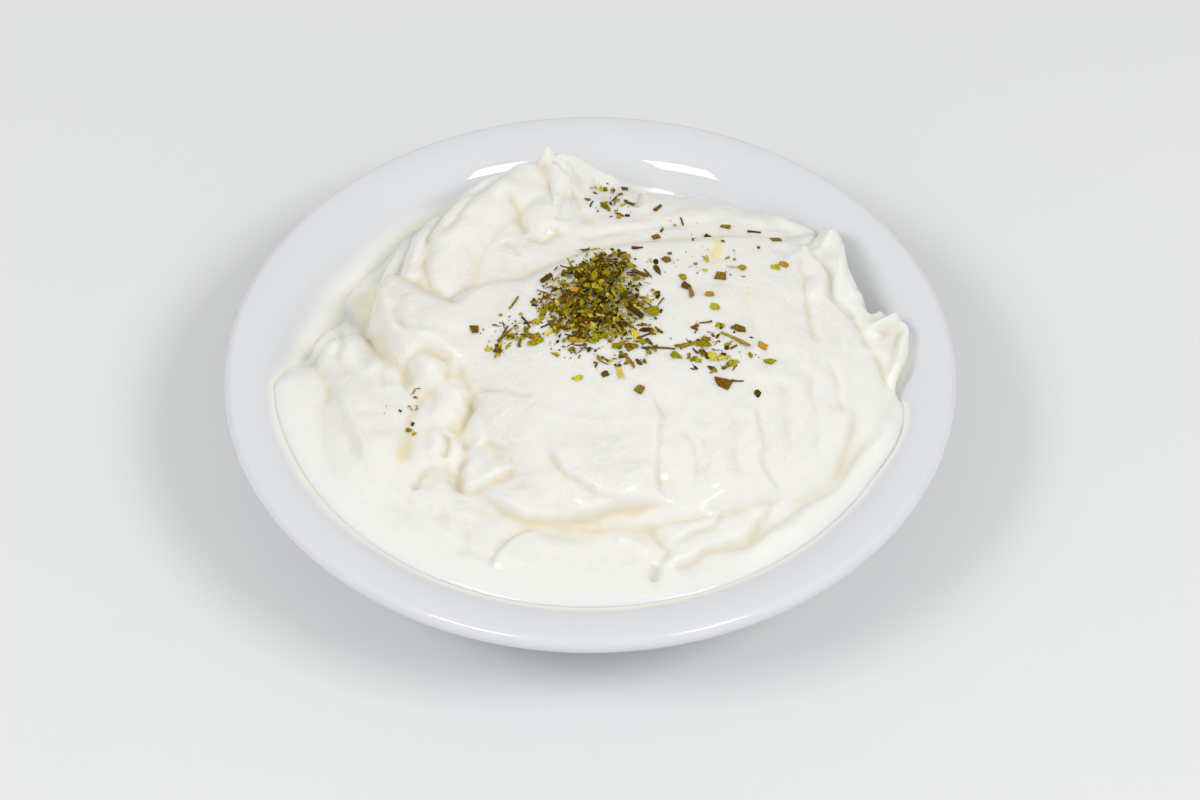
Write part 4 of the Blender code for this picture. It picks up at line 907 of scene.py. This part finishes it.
# The largest bits, in the eye's plan: kind, place, length, width, turn in degrees, tone from dark to light.
LARGE_BITS = [
    ("chunk", -24, 7.5, 2.2, 2.4, 0, 0.45), ("stem", -17.5, 6, 5.1, 1.0, 45, 0.45),
    ("stem", -14.5, 4, 3.0, 0.7, 75, 0.4), ("chunk", -12.5, 5.5, 2.4, 1.3, -30, 0.6),
    ("leaf", -21, 1.5, 1.8, 1.4, 10, 0.8), ("chunk", -19, 1, 2.7, 1.3, -30, 0.35),
    ("leaf", -11.5, 3.5, 3.7, 1.7, 10, 0.6), ("chunk", -9, 22.5, 4.8, 1.3, 40, 0.2),
    ("stem", -16, 15, 3.5, 0.7, 55, 0.5), ("chunk", 14, 35, 2.0, 1.4, 20, 0.5),
    ("stem", 10, 31.5, 2.4, 0.8, 10, 0.1), ("chunk", 16, 28, 2.2, 2.0, 0, 0.55),
    ("chunk", 7.5, 28.5, 2.2, 2.0, -30, 0.75), ("stem", 10.5, 23.5, 3.5, 1.3, -20, 0.25),
    ("leaf", 7.5, 26, 4.2, 1.5, 5, 0.55), ("chunk", 9, 12.5, 5.9, 1.7, -40, 0.12),
    ("leaf", 13, 12.5, 3.5, 3.1, 50, 0.55), ("chunk", 11.5, 7, 2.7, 1.1, 5, 0.08),
    ("leaf", 9.5, 5.5, 4.3, 1.8, -70, 0.95), ("stem", 14, 2, 6.8, 0.7, 0, 0.3),
    ("stem", 6, 7, 3.9, 1.0, -60, 0.6), ("leaf", 6, -5, 4.9, 1.3, -75, 0.95),
    ("chunk", 10, -10, 2.8, 2.3, -25, 0.6), ("leaf", -3, -7, 3.0, 1.4, 25, 0.85),
    ("chunk", 3, -5.5, 1.6, 1.6, 0, 0.3), ("stem", 8, -1.5, 4.3, 0.9, -55, 0.5),
    ("leaf", 24, 3.5, 4.0, 2.6, 15, 0.5), ("leaf", 27, 8, 2.5, 2.0, 0, 0.7),
    ("stem", 30, 4.5, 6.9, 1.2, -35, 0.65), ("chunk", 30.5, 7.5, 3.5, 1.8, -5, 0.45),
    ("chunk", 35.5, 2.5, 2.8, 2.6, -25, 0.95), ("leaf", 36.5, -2, 3.1, 1.3, 0, 0.55),
    ("chunk", 27, -8, 4.3, 2.8, -15, 0.4), ("stem", 30, -7.5, 2.4, 0.5, 0, 0.2),
    ("leaf", 34, -11, 1.9, 1.7, 0, 0.1), ("chunk", 27.5, 23, 3.6, 2.2, -5, 0.55),
    ("chunk", 20, 20, 2.0, 2.2, 25, 0.3), ("chunk", 21, 18.5, 5.0, 1.1, -85, 0.65),
    ("chunk", 39.5, 34, 2.5, 2.2, 25, 0.6), ("leaf", 39, 25.5, 2.9, 2.1, 65, 0.75),
    ("chunk", 41, 26.5, 2.5, 1.8, -50, 0.9), ("chunk", 29, 38, 2.6, 1.4, -5, 0.6),
    ("chunk", 25, 35, 1.9, 1.7, -30, 0.15), ("stem", 35, 36.5, 3.0, 0.7, 10, 0.05),
    ("leaf", 32, 25.5, 1.9, 1.8, -30, 0.6), ("leaf", 24.5, 28, 2.4, 1.0, -90, 0.8),
    ("chunk", 25, 17.5, 2.1, 1.3, -5, 0.8), ("leaf", 26, 14, 2.6, 2.0, 55, 0.75),
    ("leaf", 19.5, 23, 2.1, 1.7, -40, 0.6), ("leaf", 14, 25, 3.1, 1.2, -70, 0.15),
    ("leaf", 17.5, 0, 2.8, 2.2, -25, 0.55), ("stem", 20.5, 3, 4.5, 1.2, 20, 0.55),
    ("leaf", 25, -0.5, 2.1, 2.3, 0, 0.9), ("leaf", 27, -0.5, 2.4, 1.8, -50, 0.9),
    ("leaf", 28.5, -2.5, 2.4, 1.3, 45, 0.55), ("leaf", 25, -4, 2.8, 1.3, -45, 0.5),
    ("chunk", 7.5, 50, 2.2, 1.3, -5, 0.4), ("leaf", 8.5, 45.5, 2.8, 1.6, -5, 0.25),
    ("leaf", 5, 46.5, 3.0, 1.0, 70, 0.3), ("leaf", 3, 44.5, 3.0, 1.6, -55, 0.35),
    ("stem", 14.5, 44, 2.5, 1.1, 55, 0.3)]
# Loose bits: leaves, stems, chunks and dust in each cluster, its place, spread along x and y, and turn.
CLUSTERS = [((330, 130, 44, 240), (0.2, 15.6), (7.0, 7.2), 0), ((100, 60, 10, 80), (2.3, 24), (4.0, 4.4), 0),
            ((80, 36, 6, 80), (-3, 9.5), (6, 5), 35), ((76, 24, 8, 60), (3, 4), (6.6, 4.8), 0),
            ((44, 18, 4, 50), (9, 12), (3.4, 6.5), 0),
            ((22, 12, 2, 22), (-17, 6), (3, 4.5), -35), ((34, 10, 8, 36), (25.5, 2), (5.5, 4.5), -15),
            ((12, 4, 3, 22), (22, 27), (9, 5), 15), ((22, 6, 3, 22), (4.5, 46.5), (3, 3.6), 10),
            ((7, 1, 1, 10), (-35.5, -16.5), (0.6, 4.5), 0), ((1, 0, 0, 4), (-41, -16), (3, 1.5), 0),
            ((6, 1, 1, 10), (13, 38), (7, 1), 5)]
CLUSTER_LIMIT = 1.75
# Bits of the pile this far past the far edge are left out, between these limits of the plan.
EDGE_MARGIN, EDGE_BITS, BACK_BITS = 1.2, 14, 40
SIZES = {  # smallest and largest length, width as a share of it, thickness
    "leaf": ((0.7, 2.5), (0.3, 0.8), 0.14), "stem": ((1.0, 3.4), (0.12, 0.24), 0.3),
    "chunk": ((0.9, 2.4), (0.4, 0.75), 0.55), "dust": ((0.25, 0.6), (0.6, 1.0), 0.12)}
# The higher the power, the more of the bits are small. Tones follow a beta distribution.
SMALL_POWER, TONE_SPREAD = 1.8, (1.15, 1.4)
LEAF_CORNERS, CHUNK_CORNERS, DUST_CORNERS = (5, 6, 7), (4, 4, 5), 4
# How unevenly a bit's corners are set: turn, and reach from the middle.
CORNER_JITTER, CORNER_REACH, HALF_SIZE, TOP_SHRINK = 0.22, (0.78, 1.12), 0.56, 0.9
LEAF_CURL, LEAF_WAVE = (-0.5, 0.7), 0.12
STEM_SIDES, STEM_RINGS, STEM_BEND, STEM_TAPER, STEM_JITTER, STEM_FLAT = 5, 5, 0.35, 0.35, (0.85, 1.1), 0.8
# The pile: its height, and how far bits lift and lean in it and beside it. Bits deep in it get painted shade.
PILE_CENTRE, PILE_REACH, PILE_HEIGHT, DEPTH_SHADE = (1.5, 18.5), (7.5, 8.5), 2.6, 0.45
LARGE_LIFT, LARGE_LEAN, LOOSE_LEAN, PILE_LEAN, CLEARANCE = 0.9, 0.12, 0.18, 0.4, 0.08
# How a sight line's meeting with the yogurt is found, and the span that its slope is measured over.
SURFACE_STEPS, SURFACE_STEP, SURFACE_START, SLOPE_SPAN = 30, 0.6, DISH_HEIGHT + 8, 0.7
LEAF_STOPS = [(0.0, (0.045, 0.023, 0.001)), (0.22, (0.13, 0.090, 0.002)), (0.5, (0.27, 0.230, 0.004)),
              (0.78, (0.49, 0.42, 0.012)), (1.0, (0.80, 0.64, 0.12))]
STEM_STOPS = [(0.0, (0.055, 0.022, 0.004)), (0.4, (0.20, 0.11, 0.010)), (0.7, (0.44, 0.31, 0.030)),
              (1.0, (0.74, 0.58, 0.17))]
CHUNK_STOPS = [(0.0, (0.05, 0.020, 0.003)), (0.45, (0.19, 0.095, 0.008)), (0.75, (0.36, 0.23, 0.020)),
               (1.0, (0.64, 0.31, 0.030))]
HERB_LOOKS = {"leaf": ("herb_leaves", LEAF_STOPS, 0.42), "stem": ("herb_stems", STEM_STOPS, 0.5),
              "chunk": ("herb_chunks", CHUNK_STOPS, 0.5), "dust": ("herb_dust", LEAF_STOPS, 0.6)}


def on_surface(px, py):
    """The yogurt's points that the eye sees at places of the plan, and the slopes there."""
    z = np.full(len(px), SURFACE_START)
    for _ in range(SURFACE_STEPS):
        k = (EYE[2] - DISH_HEIGHT) / (EYE[2] - z)
        x, y = EYE[0] + (px - EYE[0]) / k, EYE[1] + (py - EYE[1]) / k
        z = (1 - SURFACE_STEP) * z + SURFACE_STEP * yogurt_height(x, y)
    e = SLOPE_SPAN
    slope_x = (yogurt_height(x + e, y) - yogurt_height(x - e, y)) / (2 * e)
    slope_y = (yogurt_height(x, y + e) - yogurt_height(x, y - e)) / (2 * e)
    return np.column_stack([x, y, z]), slope_x, slope_y


def inside_limit(rng):
    """A random offset about zero, drawn again until it is near enough."""
    while True:
        u, v = rng.gauss(0, 1), rng.gauss(0, 1)
        if hypot(u, v) < CLUSTER_LIMIT:
            return u, v


def bit_list(rng):
    """Every herb bit: kind, place in the plan, length, width, turn in degrees and tone."""
    bits = list(LARGE_BITS)
    for counts, (cx, cy), (sx, sy), turn in CLUSTERS:
        c, s = cos(radians(turn)), sin(radians(turn))
        for kind, count in zip(SIZES, counts):
            (shortest, longest), shares, _ = SIZES[kind]
            for _ in range(count):
                u, v = inside_limit(rng)
                u, v = u * sx, v * sy
                length = shortest + (longest - shortest) * rng.random()**SMALL_POWER
                width = length * rng.uniform(*shares)
                bits.append((kind, cx + u * c - v * s, cy + u * s + v * c, length, width,
                             rng.uniform(0, 360), rng.betavariate(*TONE_SPREAD)))
    return bits


def kept_bits(bits):
    """The bits without those of the pile that would drop behind the front mass."""
    px, py = np.array([bit[1:3] for bit in bits], float).T
    near, past, _, _ = along(px, py, curve(FAR_EDGE), PATH_REACH)
    drop = (past > EDGE_MARGIN) & (np.abs(px[near]) < EDGE_BITS) & (py[near] < BACK_BITS)
    dropped = set(near[drop])
    return [bit for i, bit in enumerate(bits) if i not in dropped]


def bit_shape(rng, kind, length, width):
    """Points and triangles of one bit, lying flat about its middle."""
    if kind == "stem":
        return stem_shape(rng, length, width)
    thick = SIZES[kind][2]
    n = {"leaf": rng.choice(LEAF_CORNERS), "chunk": rng.choice(CHUNK_CORNERS), "dust": DUST_CORNERS}[kind]
    start = pi / 4 if kind == "chunk" else rng.uniform(0, 2 * pi)
    curl = rng.uniform(*LEAF_CURL) / max(length, 1) if kind == "leaf" else 0
    wave = rng.uniform(-LEAF_WAVE, LEAF_WAVE) if kind == "leaf" else 0
    outline = []
    for k in range(n):
        a = start + 2 * pi * (k + rng.uniform(-CORNER_JITTER, CORNER_JITTER)) / n
        reach = rng.uniform(*CORNER_REACH)
        outline.append((HALF_SIZE * length * cos(a) * reach, HALF_SIZE * width * sin(a) * reach))
    points = []
    for level, shrink in ((-0.5, 1.0), (0.5, TOP_SHRINK)):
        ring = [(u * shrink, v * shrink) for u, v in outline] + [(0, 0)]
        points += [(u, v, level * thick + curl * u * u + wave * u * v) for u, v in ring]
    low, high = n, 2 * n + 1
    faces = []
    for k in range(n):
        m = (k + 1) % n
        faces += [(low, m, k), (high, n + 1 + k, n + 1 + m), (k, m, n + 1 + m), (k, n + 1 + m, n + 1 + k)]
    return points, faces


def stem_shape(rng, length, width):
    """A thin bent stalk."""
    bend = rng.uniform(-STEM_BEND, STEM_BEND) / max(length, 1)
    points = []
    for i in range(STEM_RINGS):
        t = i / (STEM_RINGS - 1) - 0.5
        r = 0.5 * width * (1 - STEM_TAPER * (t + 0.5)) * rng.uniform(*STEM_JITTER)
        for k in range(STEM_SIDES):
            a = 2 * pi * k / STEM_SIDES
            points.append((t * length, r * cos(a) + bend * (t * length)**2, STEM_FLAT * r * sin(a)))
    faces = [half for a, b, c, d in bands(0, STEM_SIDES, STEM_RINGS) for half in ((a, b, c), (a, c, d))]
    last = (STEM_RINGS - 1) * STEM_SIDES
    for k in range(1, STEM_SIDES - 1):
        faces += [(0, k, k + 1), (last, last + k + 1, last + k)]
    return points, faces


def leaning_axes(rng, slope_x, slope_y, turn, lean):
    """Directions along, across and up from a bit that lies on a slope with a random lean."""
    up = Vector((-slope_x, -slope_y, 1)).normalized()
    up = (up + Vector((rng.gauss(0, lean), rng.gauss(0, lean), 0))).normalized()
    ahead = Vector((cos(radians(turn)), sin(radians(turn)), 0))
    ahead = (ahead - up * ahead.dot(up)).normalized()
    return ahead, up.cross(ahead), up


def herb_piece(kind, points, faces, tones):
    name, stops, gloss = HERB_LOOKS[kind]
    piece = mesh_piece(name, [tuple(p) for p in points], faces, [herb_material(name, stops, gloss)])
    piece.data.shade_flat()
    point_attribute(piece, "tone", tones)
    return piece


def make_herbs():
    """One mesh for each kind of bit, every bit laid on the yogurt or piled on the others."""
    rng = random.Random(HERB_SEED)
    bits = kept_bits(bit_list(rng))
    px, py = np.array([bit[1:3] for bit in bits], float).T
    spots, slope_x, slope_y = on_surface(px, py)
    pile = PILE_HEIGHT * np.exp(-((px - PILE_CENTRE[0]) / PILE_REACH[0])**2
                                - ((py - PILE_CENTRE[1]) / PILE_REACH[1])**2)
    shapes = {kind: ([], [], []) for kind in SIZES}
    for i, (kind, _, _, length, width, turn, tone) in enumerate(bits):
        large = i < len(LARGE_BITS)
        lift = pile[i] * (LARGE_LIFT if large else rng.random())
        lean = LARGE_LEAN if large else LOOSE_LEAN + PILE_LEAN * min(lift, 1)
        ahead, aside, up = leaning_axes(rng, slope_x[i], slope_y[i], turn, lean)
        middle = Vector(spots[i]) + Vector((0, 0, CLEARANCE + lift))
        if not large:
            # Painted shade: bits deep in the pile get darker tones for the shade of the bits above.
            tone -= DEPTH_SHADE * max(pile[i] - lift, 0) / PILE_HEIGHT
        points, faces, tones = shapes[kind]
        shape, triangles = bit_shape(rng, kind, length, width)
        base = len(points)
        points += [middle + ahead * u + aside * v + up * w for u, v, w in shape]
        faces += [tuple(base + k for k in face) for face in triangles]
        tones += [tone] * len(shape)
    return [herb_piece(kind, *parts) for kind, parts in shapes.items()]


# ---------------------------------------------------------------- table, light and camera
CAMERA_AIM = (1.98, -12.68, 26.0)
CAMERA_LENS = 81.64
CAMERA_SENSOR = 36.0
CAMERA_NEAR = 0.01
TABLE_REACH = 2500.0
SKY_STRENGTH = 0.535
# Soft lights: bearing from the front, elevation, distance, width, height and power.
KEY_LIGHTS = {"key_left": (-61, 47, 1.15, 0.46, 0.345, 4.1), "key_right": (61, 47, 1.15, 0.46, 0.345, 4.8),
              "front_fill": (0, 30, 1.4, 0.9, 0.4, 0.6)}
# Lights that show only as highlights on what is glossy.
GLINT_LIGHTS = {"glint_left": (-42, 58.3, 1.2, 0.32, 0.24, 2.6),
                "glint_right": (42.5, 58.3, 1.2, 0.25, 0.24, 2.8)}


def look_at(obj, spot, target):
    obj.location = spot
    obj.rotation_euler = (target - spot).to_track_quat("-Z", "Y").to_euler()


def make_table():
    reach = TABLE_REACH
    corners = [(-reach, -reach, 0), (reach, -reach, 0), (reach, reach, 0), (-reach, reach, 0)]
    return mesh_piece("table", corners, [(0, 1, 2, 3)], [table_material()])


def make_light(name, bearing, elevation, distance, width, height, power):
    """A soft rectangular light aimed at the dish, turned from the front by a bearing."""
    light = bpy.data.lights.new(name, "AREA")
    light.shape = "RECTANGLE"
    light.size, light.size_y = width, height
    light.energy = power
    a, e = radians(bearing), radians(elevation)
    spot = Vector((sin(a) * cos(e), -cos(a) * cos(e), sin(e))) * distance
    lamp = link(bpy.data.objects.new(name, light))
    look_at(lamp, spot, Vector())
    return lamp


def make_sky():
    world = bpy.data.worlds.new("soft_white")
    world.use_nodes = True
    background = world.node_tree.nodes["Background"]
    background.inputs["Color"].default_value = (1, 1, 1, 1)
    background.inputs["Strength"].default_value = SKY_STRENGTH
    bpy.context.scene.world = world


def make_camera():
    """The camera at the photograph's viewing angle, with its eye at EYE."""
    lens = bpy.data.cameras.new("camera")
    lens.lens = CAMERA_LENS
    lens.sensor_width = CAMERA_SENSOR
    lens.clip_start = CAMERA_NEAR
    camera = link(bpy.data.objects.new("camera", lens))
    look_at(camera, Vector(EYE) * MM, Vector(CAMERA_AIM) * MM)
    bpy.context.scene.camera = camera


# ---------------------------------------------------------------- the scene
bpy.context.scene.view_settings.view_transform = "Standard"
make_camera()
make_sky()
for name, setting in KEY_LIGHTS.items():
    make_light(name, *setting).visible_glossy = False
for name, setting in GLINT_LIGHTS.items():
    make_light(name, *setting).visible_diffuse = False
make_table()

dish = make_dish()
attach(dish, "root")
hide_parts("bowl")

yogurt = make_yogurt()
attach(yogurt, "root")
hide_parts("yogurt")

smear = make_smear()
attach(smear, "root")
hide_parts("yogurt")

for herb in make_herbs():
    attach(herb, "root")
    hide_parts("yogurt")
